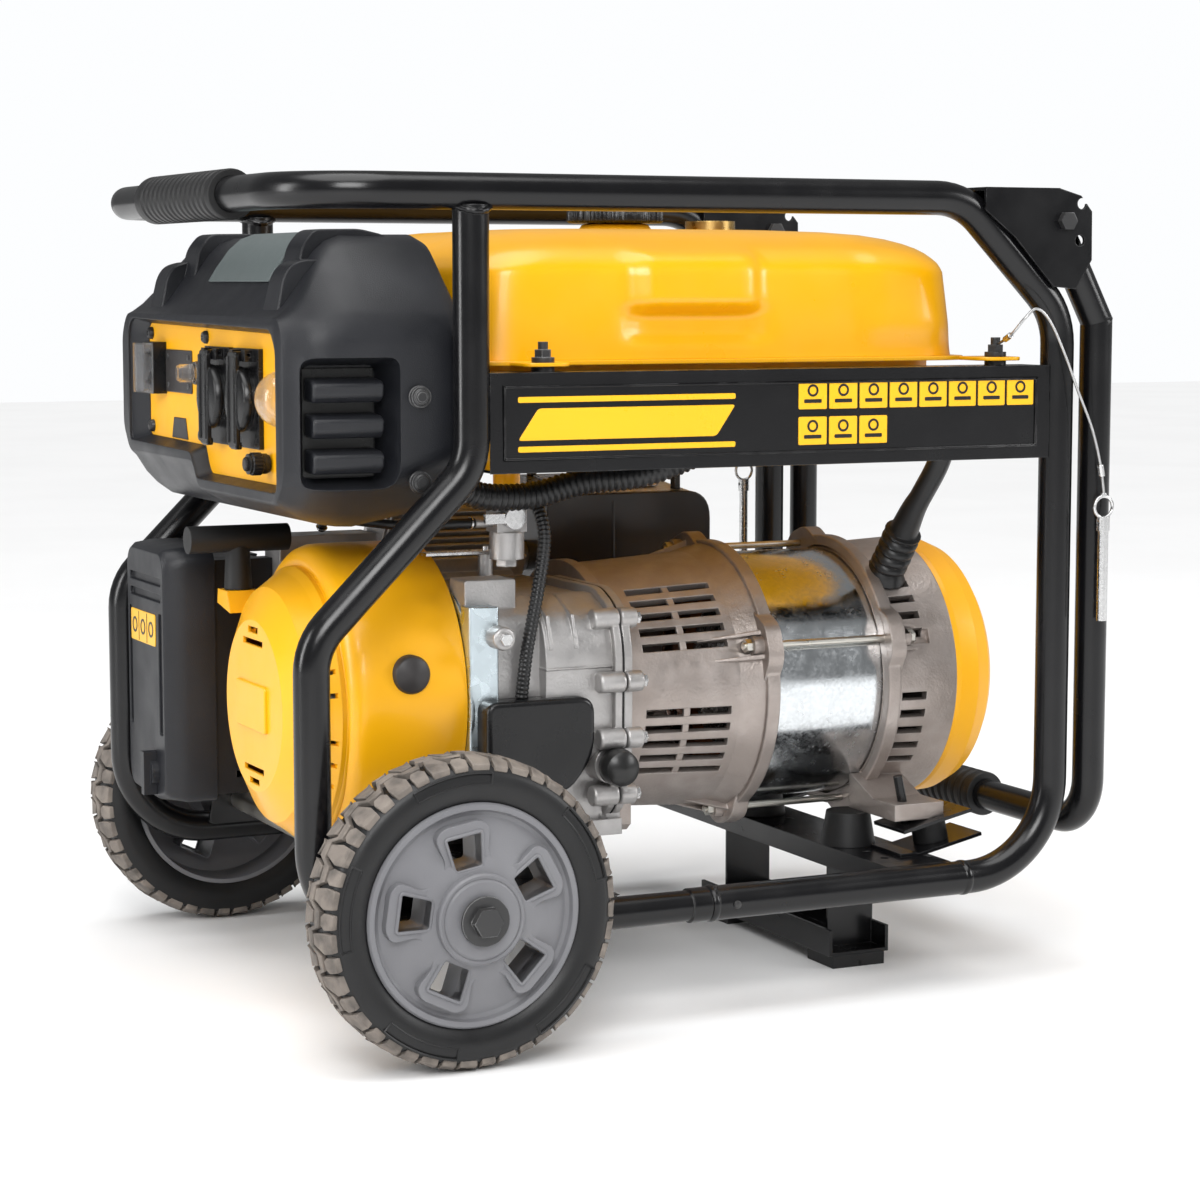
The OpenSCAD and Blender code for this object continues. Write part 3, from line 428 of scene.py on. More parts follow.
def cut(obj, *cutters):
    """Takes the cutters' shapes out of a piece and keeps the result as its own mesh."""
    for c in cutters:
        m = obj.modifiers.new("cut", "BOOLEAN")
        m.object, m.operation, m.solver = c, "DIFFERENCE", "EXACT"
    bpy.context.view_layer.update()
    evaluated = obj.evaluated_get(bpy.context.evaluated_depsgraph_get())
    mesh = bpy.data.meshes.new_from_object(evaluated)
    obj.modifiers.clear()
    obj.data = mesh
    for c in cutters:
        bpy.data.objects.remove(c)
    mesh.shade_smooth()
    mesh.set_sharp_from_angle(angle=math.radians(35))


def cutter(bm, material):
    """A shape for cut(), which takes it off the scene again."""
    return piece("cutter", bm, material, ride=False)


def dress(material, *nodes):
    for name in nodes:
        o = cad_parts[name]
        o.data.materials.clear()
        o.data.materials.append(material)


# ---------------------------------------------------------------- cords
NEAR_WIRE = [(264, -240.4, 541), (262, -262, 549), (268, -272, 562), (279, -273, 570), (292, -273, 560),
             (306, -273, 535), (322, -273, 500), (336, -273, 470), (345, -273, 440), (349, -273, 416)]
FAR_WIRE = [(264, 240.4, 541), (266, 262, 549), (274, 272, 556), (284, 273, 550), (292, 273, 530),
            (297, 273, 500), (300, 273, 460), (300, 273, 416)]
for side, route in (("near", NEAR_WIRE), ("far", FAR_WIRE)):
    path = resample(smooth(route, 12), 2.0)
    bm = bmesh.new()
    sweep(bm, path, 1.2, 12)
    wire = piece(f"wire_{side}", bm, wire_steel, replaces=[f"lanyard_{side}"])
    sleeves = bmesh.new()
    for lo, hi in ((6, 12), (len(path) - 14, len(path) - 8)):
        sweep(sleeves, path[lo:hi], 2.6, 16)
    sleeve = piece(f"wire_sleeves_{side}", sleeves, zinc, bevel=0.4)


def corrugated(path, radius, depth):
    """Radii of a ribbed hose along a path that has four points to each rib."""
    return [radius - depth * (1, 0.35, 0, 0.35)[i % 4] for i in range(len(path))]


MAIN_ROUTE = [(-202, -200, 430), (-180, -197, 424), (-140, -194, 424), (-100, -200, 434), (-50, -212, 440),
              (0, -222, 460), (20, -238, 485)]
SENSOR_ROUTE = [(-128, -172, 418), (-126, -184, 390), (-134, -190, 350), (-146, -194, 300),
                (-150, -192, 262.1)]
LEAD_ROUTE = [(222, -130, 340), (222, -146, 360), (222, -162, 381), (222, -177, 400), (224, -188, 414),
              (229, -204, 440), (232, -216, 470), (233, -236, 504)]
for name, route, radius, pitch, hides in (("main_conduit", MAIN_ROUTE, 11, 5.2, ["conduits"]),
                                          ("sensor_lead", SENSOR_ROUTE, 5.5, 3.6, [])):
    path = resample(smooth(route, 12), pitch / 4)
    bm = bmesh.new()
    sweep(bm, path, corrugated(path, radius, radius * 0.16), 20)
    piece(name, bm, hose_rubber, angle=80, replaces=hides)
HOSE_ROUTE = [(-172.6, -150, 400), (-186, -150, 400), (-206, -142, 399), (-222, -110, 397), (-226, -50, 395),
              (-222, 20, 392), (-213, 80, 387), (-206, 110, 382), (-205, 118, 376)]
path = smooth(HOSE_ROUTE, 8)
bm = bmesh.new()
sweep(bm, path, 4, 16)
piece("fuel_hose", bm, hose_rubber, angle=60)
bm = bmesh.new()
for i in (2, len(path) - 4):
    sweep(bm, path[i:i + 2], 5.2, 20)
piece("hose_clips", bm, zinc, bevel=0.5)
path = resample(smooth(LEAD_ROUTE, 12), 1.5)
radii = []
for i, p in enumerate(path):
    if i < 5:
        radii.append(19 - i * 0.9)
    elif i < 34:
        radii.append(13.6 + (2.6 if i % 6 in (2, 3, 4) else 0.6 if i % 6 in (1, 5) else -0.6))
    else:
        radii.append(max(9.6, 12.6 - 0.12 * (i - 34)))
bm = bmesh.new()
sweep(bm, path, radii, 24)
piece("alternator_boot", bm, hose_rubber, angle=60, replaces=["alternator_lead"])

# ---------------------------------------------------------------- frame tubes
def bent(corners, radii, step=6):
    """A path of straight runs with a round bend at each inner corner."""
    p = [Vector(c) for c in corners]
    path = [p[0]]
    for i, r in enumerate(radii, 1):
        a, b = (p[i - 1] - p[i]).normalized(), (p[i + 1] - p[i]).normalized()
        half = a.angle(b) / 2
        reach = r / math.tan(half)
        centre = p[i] + (a + b).normalized() * (r / math.sin(half))
        start, end = p[i] + a * reach - centre, p[i] + b * reach - centre
        turn = start.angle(end)
        n = max(4, int(turn * r / step))
        axis = start.cross(end).normalized()
        path += [centre + Matrix.Rotation(turn * k / n, 3, axis) @ start for k in range(n + 1)]
    return path + [p[-1]]


LOW, TOP, SIDE = 94, 660, 249
half_run = [(-12, -SIDE, LOW), (316, -SIDE, LOW), (316, -SIDE, 564.85), (220.85, -SIDE, TOP),
            (-355, -SIDE, TOP)]
loop = half_run + [(x, -y, z) for x, y, z in half_run[::-1]]
bm = bmesh.new()
sweep(bm, bent(loop, [80, 60, 60, 70, 70, 60, 60, 80]), 14, 40)
for s in (-1, 1):
    # slip joint: a rolled end, and a crimp further along the rail
    sweep(bm, [(x, s * SIDE, LOW) for x in (-13, -12.4, -10, -8, -7)], [13.6, 14.6, 15, 14.7, 14], 40)
    sweep(bm, [(x, s * SIDE, LOW) for x in (226, 227, 229, 231, 232)], [14, 14.6, 14.8, 14.6, 14], 40)
piece("tube_main", bm, black_paint, angle=60, replaces=["main_tube"])
bm = bmesh.new()
for s in (-1, 1):
    leg = [(22, LOW), (-347, LOW), (-347, 320.71), (-216, 451.71), (-216, 650)]
    path = bent([(x, s * SIDE, z) for x, z in leg], [73, 50, 50])
    sweep(bm, path, [12.2 if p.x > -13 and p.z < 100 else 14 for p in path], 40)
    sweep(bm, [(x, s * SIDE, LOW) for x in (-30, -13.4, -13.2)], [14, 14, 12.2], 40)
    # weld bead under the top rail, and the plate that holds the axle
    bead = [(-216 + 14.4 * math.cos(a), s * SIDE + 14.4 * math.sin(a), 648.6 - 4 * math.sin(a) ** 2)
            for a in [math.pi * k / 24 for k in range(48)]]
    sweep(bm, bead, [1.9 + 0.35 * (k % 3) for k in range(48)], 8, closed=True)
    prism(bm, rounded([(-276, 98), (-214, 98), (-222, 140), (-268, 140)], 8, 4), "y",
          *sorted((s * 231, s * 236.5)))
piece("tube_front_legs", bm, black_paint, angle=60, replaces=["front_legs"])
bm = bmesh.new()
for s in (-1, 1):
    turned(bm, [(0.01, s * 260), (3.6, s * 260), (3.2, s * 264.4), (1.6, s * 265), (0.01, s * 265)],
           "y", (8, LOW), 20)
piece("slip_rivets", bm, black_bolt_look)

# ---------------------------------------------------------------- carried-over CAD nodes
dress(black_paint, "side_beams", "cross_beams", "corner_brackets", "mount_plates",
      "handle_tube")
dress(rubber, "foot_pads", "rubber_mounts", "recoil_grip")
dress(rod_zinc, "through_bolts", "axle")
dress(zinc, "tap_lever", "throttle_lever", "lock_pin_near", "lock_pin_far", "rotor")
dress(galvanised, "stator_shell")
dress(copper, "stator_core")
dress(black_bolt_look, "black_bolts")
dress(yellow_paint, "recoil_cover")
dress(yellow_plastic, "end_cap", "control_panel")
dress(gauge_brass, "fuel_gauge")
dress(cast_taupe, "adapter", "end_bell")
dress(cast_grey, "fuel_tap", "engine_block", "cylinder_head", "carburettor", "flywheel")
dress(grey_plastic, "filter_case", "filter_knob", "control_box", "filter_cover")
dress(black_plastic, "breaker_block", "socket_bodies", "ground_terminal", "oil_sensor_cover", "fuel_cap",
      "breaker_toggle", "socket_lid_1", "socket_lid_2", "dipstick")
dress(clear_plastic, "clear_covers", "reset_button")
dress(muffler_top, "muffler")
dress(heat_black, "muffler_shield")

# ---------------------------------------------------------------- wheels
AXLE = (-245, 120)
LUGS = 22
TREAD_MIDDLE = 294.5
WINDOWS = [math.radians(-10 + 72 * k) for k in range(5)]


def on_rim(angle, r):
    """X and Z at an angle from the top of the wheel."""
    return AXLE[0] + r * math.sin(angle), AXLE[1] + r * math.cos(angle)


def on_wheel(angle, y, r):
    x, z = on_rim(angle, r)
    return Vector((x, y, z))


def tread_block(bm, outline, low, high):
    """A block on the tread from an outline of (angle, y, drop); it follows the curve of the tyre."""
    loops = [[on_wheel(a, y, r - (drop if r == high else 0)) for a, y, drop in outline] for r in (low, high)]
    skin(bm, loops)


def wheel(side, s):
    """One wheel; s is -1 on the near side and 1 on the far side."""
    def revolve(bm, profile, steps):
        turned(bm, [(r, s * h) for r, h in profile], "y", AXLE, steps)

    bm = bmesh.new()
    revolve(bm, [(86.05, 318), (90, 321), (97, 323.2), (106, 323), (112, 319.5), (115, 313), (115.6, 300),
                 (115.6, 288), (115, 276), (112, 269), (104, 266), (94, 265.6), (86.05, 270)], 144)
    # raised outlines of the recesses in the side wall
    for mid in WINDOWS:
        outline = tile((mid - 0.3, 100.5), (mid + 0.3, 109), 0.035, 3)
        dense = []
        for (a0, r0), (a1, r1) in zip(outline, outline[1:] + outline[:1]):
            cuts = max(1, int(abs(a1 - a0) / 0.05))
            dense += [(a0 + (a1 - a0) * i / cuts, r0 + (r1 - r0) * i / cuts) for i in range(cuts)]
        sweep(bm, [on_wheel(a, s * 323, r) for a, r in dense], 0.9, 6, closed=True)
    piece(f"tyre_carcass_{side}", bm, tyre_look, f"wheel_{side}", replaces=[f"tyre_{side}"])
    lugs = bmesh.new()
    h = math.pi / LUGS  # half the pitch
    for i in range(LUGS):
        a = 2 * h * i
        # zigzag band round the middle
        zigzag = [(a, 7), (a + h * 0.7, 7), (a + h, -7), (a + h * 1.7, -7), (a + 2 * h, 7)]
        for (u0, o0), (u1, o1) in zip(zigzag, zigzag[1:]):
            tread_block(lugs, [(u, s * (TREAD_MIDDLE - o), 0) for u, o in
                               ((u0, o0 - 4.5), (u1, o1 - 4.5), (u1, o1 + 4.5), (u0, o0 + 4.5))], 113, 119.6)
        # on both sides of the band a long lug and a short one, deepest at the shoulder
        for edge, away, shift in ((320.5, -1, 0.0), (268.5, 1, 1.0)):
            u = a + h * shift
            long_lug = (edge, edge + away * 7, TREAD_MIDDLE - away * 0.5)
            short_lug = (edge - away * 0.8, edge + away * 6, TREAD_MIDDLE - away * 15)
            for turns, across, drops, top in (
                    ((-0.08, 0.78, 0.82, 0.62, 0.1, -0.14), long_lug, (4.6, 0.4, 0), 119.8),
                    ((1.0, 1.68, 1.72, 1.55, 1.12, 0.96), short_lug, (5.2, 0.6, 0.2), 119.4)):
                tread_block(lugs, [(u + h * t, s * across[k], drops[k]) for t, k in
                                   zip(turns, (0, 0, 1, 2, 2, 1))], 110, top)
    piece(f"tread_{side}", lugs, tread_look, f"wheel_{side}", bevel=0.7, segments=1)

    # rim: a dished plate with a raised star round the windows and a hub
    bm = bmesh.new()
    revolve(bm, [(10.05, 336), (29, 336), (31, 334.6), (31.6, 329), (44, 326), (58, 320), (76, 315.5),
                 (79, 317), (80.5, 320.8), (84.5, 320.8), (86, 319), (86, 268), (82, 268), (80, 300),
                 (60, 309), (30, 312), (28, 268), (10.05, 268)], 120)
    rim = piece(f"rim_shell_{side}", bm, rim_plastic, f"wheel_{side}",
                replaces=[f"rim_{side}"])
    star = [on_rim(c + da, r) for c in WINDOWS for da, r in
            ((-0.36, 50), (-0.33, 70), (-0.2, 74), (0.2, 74), (0.33, 70), (0.36, 50), (0.5, 45), (0.76, 45))]
    bm = bmesh.new()
    prism(bm, rounded(star, 5, 4), "y", *sorted((s * 325, s * 312)))
    plate = piece(f"rim_star_{side}", bm, rim_plastic, f"wheel_{side}")
    frames = bmesh.new()
    for c in WINDOWS:
        window = [on_rim(c + da, r) for da, r in ((-0.3, 39), (0.3, 39), (0.235, 66), (-0.235, 66))]
        window = rounded(window, 3, 3)
        for target in (rim, plate):
            hole = bmesh.new()
            prism(hole, window, "y", *sorted((s * 345, s * 262)))
            cut(target, cutter(hole, rim_plastic))
        sweep(frames, [(a, s * 325.2, b) for a, b in window], 1.5, 8, closed=True)
        tunnel = [[Vector((a, s * d, b)) for a, b in window] for d in (324.5, 286)]
        centre = [sum(v[i] for v in window) / len(window) for i in (0, 1)]
        wide = [(centre[0] + (a - centre[0]) * 1.06, centre[1] + (b - centre[1]) * 1.06) for a, b in window]
        tunnel += [[Vector((a, s * d, b)) for a, b in wide] for d in (286, 324.5)]
        skin(frames, tunnel, wrap=True)
    bevelled(plate, 1.8, 3)
    bevelled(rim, 0.8, 2, 40)
    revolve(frames, [(31, 335), (33.4, 335.8), (35, 334), (35, 325), (31, 325)], 96)
    piece(f"rim_frames_{side}", frames, rim_plastic, f"wheel_{side}")


wheel("near", -1)
wheel("far", 1)


# ---------------------------------------------------------------- ribbed grips
GRIP_RIBS = 14


def ribbed_grip(name, x, z, half, bore, body, node):
    bm = bmesh.new()
    profile = [(bore, -half), (19.2, -half), (20, -half + 1.5), (20, -half + 9)]
    w = (2 * half - 22) / GRIP_RIBS
    for i in range(GRIP_RIBS):
        y0 = -half + 11 + i * w
        profile += [(18.3, y0), (18.3, y0 + w * 0.28), (20, y0 + w * 0.42), (20, y0 + w * 0.9)]
    profile += [(20, half - 1.5), (19.2, half), (bore, half)]
    turned(bm, profile, "y", (x, z), 72)
    piece(name, bm, rubber, body, replaces=[node])


ribbed_grip("front_grip_ribs", -355, 660, 100, 14.05, "frame", "front_grip")
ribbed_grip("handle_grip_ribs", 355, 130, 90, 13.55, "handle", "handle_grip")


# ---------------------------------------------------------------- fuel tank
def tank_outline(inset, z, low=(-199, -209), high=(256, 209), r=34, n=200):
    corners = tile((low[0] + inset, low[1] + inset), (high[0] - inset, high[1] - inset),
                      r * 1.5 + inset * 0.4, 10)
    rim = [Vector((x, y, z)) for x, y in corners]
    rim.append(rim[0])
    total = sum((b - a).length for a, b in zip(rim, rim[1:]))
    # a hair over the even step, so that the last point isn't doubled
    return resample(rim, total / n * 1.0000001)[:n]


def bump_at(v, low, high, soft):
    """1 between low and high, fading to 0 over soft on both sides."""
    t = min((v - low) / soft + 1, (high - v) / soft + 1)
    t = max(0.0, min(1.0, t))
    return t * t * (3 - 2 * t)


bm = bmesh.new()
stations = [(0, 530.4)] + [(6 * (z - 530) / 70, z) for z in range(536, 601, 4)]
stations += [(7.5, 604), (9.5, 608), (12.5, 612), (16, 616), (21, 620), (28, 624), (38, 628), (52, 631.5),
             (72, 634), (100, 635.6), (140, 636), (190, 636)]
loops = []
for inset, z in stations:
    loop = tank_outline(inset, z)
    for p in loop:
        for s in (-1, 1):
            if s * p.y > 150:
                grip = bump_at(p.x, -47, 45, 14) * bump_at(p.z, 574, 612, 9)
                corner = bump_at(p.x, 172, 236, 26) * bump_at(p.z, 560, 606, 26)
                p.y += s * (11 * grip + 4 * corner)
                p.y -= s * 7 * bump_at(p.x, -47, 45, 26) * bump_at(p.z, 552, 566, 12)
    loops.append(loop)
skin(bm, loops)
piece("tank_top", bm, tank_look, replaces=["fuel_tank"], angle=50)
bm = bmesh.new()
skin(bm, [tank_outline(i, z, (-187, -192), (242, 192), 30, 80) for i, z in
          ((0, 527), (0, 462), (2, 452), (8, 444), (18, 440), (60, 440))])
prism(bm, tile((-203, -217), (260, 217), 42, 10), "z", 526.9, 530.5)
for x in (-150, 264):
    for s in (-1, 1):
        prism(bm, tile((x - 20, min(s * 200, s * 249)), (x + 20, max(s * 200, s * 249)), 12, 5),
              "z", 526.9, 529.9)
turned(bm, [(24, 640), (24, 634), (32, 634), (31, 638), (29, 641), (26, 642), (24.5, 641)], "z", (25, 0), 72)
turned(bm, [(5, 430), (11, 430), (11, 444), (5, 444)], "z", (-144, -150), 36)
piece("tank_pan", bm, tank_look, bevel=0.6)

# filler cap: knurled rim, domed top
bm = bmesh.new()
loops = []
for r, z, grip in ((23.9, 630, 0), (23.9, 642.6, 0), (40, 642.6, 1), (42, 644, 1), (42, 652, 1),
                   (40.5, 655, 1), (36, 656, 0), (34, 654.6, 0), (10, 654.6, 0)):
    loops.append(ring("z", (25, 0), [r - grip * 1.6 * (k % 4 in (0, 1)) for k in range(144)], z))
skin(bm, loops)
for s in (-1, 1):
    box(bm, (21 + s * 14, -22, 654), (29 + s * 14, 22, 657.5))
piece("cap_shell", bm, black_plastic, "fuel_cap", bevel=0.4, replaces=["fuel_cap"])
bm = bmesh.new()
turned(bm, [(0.01, 643.6), (16.5, 643.6), (16.5, 644.6), (0.01, 644.6)], "z", (118, 0), 48)
piece("gauge_dial", bm, label_black)
bm = bmesh.new()
box(bm, (110, -0.7, 644.7), (126, 0.7, 645.1), Matrix.Translation((118, 0, 0)) @ Matrix.Rotation(0.6, 4, "Z")
    @ Matrix.Translation((-118, 0, 0)))
piece("gauge_needle", bm, label_yellow, bevel=0.1)


# ---------------------------------------------------------------- control box
def box_section(x, w, side_low, side_high, top_half, top, bottom_half, bottom, r, step=0):
    """The hood's outline at x; step is how much higher the far half of its lower edge is."""
    corners = [(-w, side_low), (-bottom_half, bottom), (-4, bottom), (12, bottom + step),
               (bottom_half, bottom + step), (w, side_low + step), (w, side_high), (top_half, top),
               (-top_half, top), (-w, side_high)]
    return [Vector((x, a, b)) for a, b in rounded(corners, r, 6)]


bm = bmesh.new()
skin(bm, [box_section(*row) for row in (
    (-355.5, 209, 446, 546, 198, 562, 192, 425, 8, 21),
    (-354, 212, 444, 549, 200, 565, 194, 423, 9, 21),
    (-350, 214, 443, 551, 201, 567, 194, 421, 10, 19),
    (-341, 224, 441, 554, 199, 574, 192, 416, 13, 9),
    (-333, 229, 441, 557, 191, 584, 190, 412, 14, 4),
    (-322, 231, 441, 559, 180, 599, 190, 408, 15),
    (-310, 231.6, 441, 560, 171, 615, 190, 405, 16),
    (-300, 232, 442, 560, 167, 624, 190, 403.5, 16),
    (-288, 232, 442, 560, 165, 628.5, 190, 403, 16),
    (-226, 232, 452, 560, 158, 629, 186, 414, 16),
    (-215, 231, 462, 558, 155, 624, 182, 432, 18),
    (-209, 228, 472, 552, 150, 613, 176, 448, 20),
    (-206, 220, 480, 545, 144, 600, 168, 458, 22))])
hood = piece("control_hood", bm, grey_plastic, replaces=["control_box"])
# the opening flares towards the front and steps down on the near side
OPENING = [(-184, 436), (-184, 546), (-178, 552), (162, 557), (168, 551), (168, 460), (14, 458), (-2, 436)]
FLARE = [(-199, 432), (-199, 541), (-187, 556), (180, 561), (191, 551), (191, 455), (17, 453), (1, 432)]
bm = bmesh.new()
skin(bm, [[Vector((x, a, b)) for a, b in rounded(outline, 7, 4)]
          for x, outline in ((-360, FLARE), (-353, FLARE), (-344, OPENING), (-342.9, OPENING))])
cutters = [cutter(bm, grey_plastic)]
for s in (-1, 1):
    bm = bmesh.new()
    outer = tile((-347, 433), (-267, 535), 10, 5)
    inner = tile((-336, 443), (-277, 529), 7, 5)
    skin(bm, [[Vector((a, s * 240, b)) for a, b in outer], [Vector((a, s * 229, b)) for a, b in outer],
              [Vector((a, s * 202, b)) for a, b in inner]])
    cutters.append(cutter(bm, grey_plastic))
cut(hood, *cutters)
bevelled(hood, 1.6, 3, 40)

bm = bmesh.new()
for s in (-1, 1):
    for z in (510, 483, 456):
        profile = [(205, z + 10), (222, z + 8), (227.5, z + 5), (226.5, z - 4), (221, z - 9), (205, z - 8)]
        prism(bm, [(s * a, b) for a, b in profile], "x", -335, -278)
piece("hood_louvres", bm, grey_plastic, bevel=2.2, segments=3)
bm = bmesh.new()
for s in (-1, 1):
    box(bm, (-336, s * 203 - 0.6, 444), (-278, s * 203 + 0.6, 527))
piece("louvre_shadow", bm, label_black, bevel=0.3)
# ribs on the hood's top, in two pairs, and the pale insert between them
RIB_FRONT = [(-348, 560), (-340, 596), (-334, 605), (-322, 609), (-306, 609), (-290, 590)]
RIB_BACK = [(-326, 586), (-318, 620), (-308, 632.4), (-270, 633), (-248, 628), (-236, 612)]


def tapered_rib(bm, outline, y0, y1, foot=4):
    """A rib that widens towards its foot."""
    low = min(z for x, z in outline)
    high = max(z for x, z in outline)
    skin(bm, [[Vector((x, y + way * foot * (high - z) / (high - low), z)) for x, z in rounded(outline, 6, 4)]
              for y, way in ((y0, -1), (y1, 1))])


bm = bmesh.new()
for y0, y1 in ((-174, -146), (126, 154)):
    tapered_rib(bm, RIB_FRONT, y0, y1)
for y0, y1 in ((-156, -122), (102, 136)):
    tapered_rib(bm, RIB_BACK, y0, y1)
piece("hood_ribs", bm, grey_plastic, bevel=4, segments=4)
bm = bmesh.new()
prism(bm, [(-329, 592), (-322.6, 602.4), (-310.6, 618.4), (-300, 627.4), (-288, 631.6), (-240, 631.6),
           (-240, 622), (-288, 618), (-318, 592)], "y", -106, 46)
piece("hood_insert", bm, insert_plastic, bevel=1.2)

# bolts with washers on the hood's sides
bm = bmesh.new()
for s in (-1, 1):
    for x, z in ((-252, 440), (-252, 505)):
        turned(bm, [(0.01, s * 231), (8.6, s * 231), (8.6, s * 233.2), (6.4, s * 234), (6.4, s * 237.6),
                    (5.2, s * 238.6), (3.2, s * 238.6), (3.0, s * 236.4), (0.01, s * 236.4)], "y", (x, z), 32)
piece("hood_bolts", bm, black_bolt_look)

# ---------------------------------------------------------------- control panel
FACE = -343
bm = bmesh.new()
prism(bm, tile((46, 499), (118, 535), 2, 3), "x", FACE - 1.2, FACE)
prism(bm, [(104, 460.6), (60, 460.2), (66, 478), (98, 478)], "x", FACE - 0.9, FACE)
piece("panel_dark_plates", bm, dark_panel, bevel=0.4)
bm = bmesh.new()
for y, z in ((110, 505), (110, 529), (54, 505), (54, 529)):
    turned(bm, [(0.01, FACE - 1), (2.4, FACE - 1), (2.2, FACE - 2.2), (0.01, FACE - 2.4)], "x", (y, z), 20)
turned(bm, [(7.6, FACE - 1), (9.8, FACE - 1), (9.4, FACE - 4), (7.6, FACE - 4)], "x", (30, 517), 40)
for y, z in ((160, 548), (6, 547), (160, 468), (18, 466), (-176, 544)):
    turned(bm, [(0.01, FACE), (5.4, FACE), (5.2, FACE - 2.4), (3.8, FACE - 4.2), (2.2, FACE - 4.4),
                (2.0, FACE - 3), (0.01, FACE - 3)], "x", (y, z), 28)
piece("panel_screws", bm, black_bolt_look)

# socket lids: disc with a raised rim and a ribbed strap that covers the hinge
for number, y in ((1, -31), (2, -104)):
    bm = bmesh.new()
    turned(bm, [(0.01, -358.4), (20, -358), (24.6, -356.6), (26, -354), (26, -350.4), (24, -350.4),
                (22, -352.6), (0.01, -352.6)], "x", (y, 500), 64)
    strap = tile((y - 9.5, 462), (y + 9.5, 537.6), 5, 5)
    prism(bm, strap, "x", -359, -355)
    for e in (-7.6, 7.6):
        prism(bm, tile((y + e - 1.1, 466), (y + e + 1.1, 534), 1, 2), "x", -360.4, -358.6)
    prism(bm, tile((y - 8.5, 530), (y + 8.5, 537.6), 2.5, 4), "x", -358, -349)
    prism(bm, tile((y - 7.5, 461), (y + 7.5, 467), 2.5, 3), "x", -358, -353)
    piece(f"lid_shell_{number}", bm, black_plastic, f"socket_lid_{number}", bevel=0.7,
          replaces=[f"socket_lid_{number}"])

# ground terminal: knurled nut on a stud
bm = bmesh.new()
for low, high, r in ((FACE - 16, FACE - 7, 9), (FACE - 21, FACE - 17, 5.5), (FACE - 5, FACE - 0.5, 7)):
    skin(bm, [ring("x", (-148, 452), [r - inset - 0.7 * (k % 2) for k in range(36)], h)
              for h, inset in ((low, 0.9), (low + 0.8, 0), (high - 0.8, 0), (high, 0.9))])
piece("ground_knob", bm, black_plastic)

# ---------------------------------------------------------------- label beam
bm = bmesh.new()
for s in (-1, 1):
    y0, y1 = sorted((s * 256.8, s * 258.2))
    for x0, z0, x1, z1 in ((-193, 511, 291, 513), (-193, 456, 291, 458), (-193, 456, -191, 513),
                           (289, 456, 291, 513)):
        box(bm, (x0, y0, z0), (x1, y1, z1))
PRINT = (-257.5, -256.9)  # Y of the flat shapes on the beam's face
piece("beam_beads", bm, black_paint, bevel=0.5)
bm = bmesh.new()
for z in (462, 500):
    prism(bm, tile((-181, z), (7, z + 4.5), 1.5, 3), "y", *PRINT)
prism(bm, rounded([(-181, 471), (-10, 471), (7, 495.5), (-164, 495.5)], 3, 3), "y", *PRINT)
piece("beam_stripes", bm, label_yellow, bevel=0.15)
bm = bmesh.new()
marks = bmesh.new()
for z, count in ((490.5, 8), (462, 3)):
    for i in range(count):
        x = 64 + 28.2 * i
        prism(bm, tile((x, z), (x + 26, z + 22.5), 1.2, 2), "y", *PRINT)
        prism(marks, tile((x + 5, z + 5), (x + 21, z + 8), 0.8, 2), "y", -257.8, -257.3)
        turned(marks, [(3.2, -257.8), (5, -257.8), (5, -257.3), (3.2, -257.3)], "y", (x + 13, z + 15), 24)
piece("beam_squares", bm, label_yellow, bevel=0.15)
piece("beam_square_marks", marks, label_black)

# ---------------------------------------------------------------- engine covers
SHAFT, SHROUD = (-60, 250), (-62, 258)  # Y and Z of their centres
bm = bmesh.new()
turned(bm, [(100, -288), (108, -289.6), (114, -288), (119, -283), (121.6, -276), (122, -266), (122, -196),
            (121, -192.6), (119.5, -192.2), (119.5, -268), (117, -280), (110, -286), (100, -286)],
       "x", SHROUD, 120)
piece("shroud_shell", bm, yellow_paint, replaces=["fan_shroud"])
bm = bmesh.new()
turned(bm, [(0.01, -190), (8, -189), (14, -186), (15.5, -183), (15.5, -170), (0.01, -170)],
       "y", (-240, 285), 48)
piece("shroud_plug", bm, dark_panel)
bm = bmesh.new()
turned(bm, [(103, -291.6), (111, -291.6), (112.6, -289.6), (112.6, -286), (103, -286)], "x", SHAFT, 120)
prism(bm, tile((-96, 231), (-24, 269), 4, 4), "x", -332.6, -326)
for a in (45, 135, 225, 315):
    c = (SHAFT[0] + 106 * math.cos(math.radians(a)), SHAFT[1] + 106 * math.sin(math.radians(a)))
    turned(bm, [(0.01, -297), (6, -297), (6, -294.8), (4.2, -294.4), (0.01, -290)], "x", c, 24)
piece("recoil_trim", bm, yellow_paint, bevel=1.0, segments=3)

# the starter's rope: a straight tube from the cover towards its grip, on no body
bm = bmesh.new()
ROPE_START, ROPE_END = Vector((-290, 46, 331)), Vector((-306, 46, 346))
sweep(bm, [ROPE_START.lerp(ROPE_END, k / 32) for k in range(33)], 2.2, 12)
rope = piece("starter_rope", bm, rubber, angle=60, ride=False)
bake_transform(rope)

# galvanised plate behind the shroud, with its flange
bm = bmesh.new()
plate = rounded([(-180, 190), (-188, 250), (-180, 318), (-150, 345), (-40, 352), (-40, 150),
                 (-150, 150)], 14, 5)
prism(bm, plate, "x", -191.5, -187.5)
piece("fan_plate", bm, pressed_zinc, bevel=1.2)
bm = bmesh.new()
prism(bm, rounded([(-192, -166), (-168, -170), (-168, -190), (-192, -186)], 3, 3), "z", 196, 336)
piece("fan_plate_flange", bm, pressed_zinc, bevel=2)

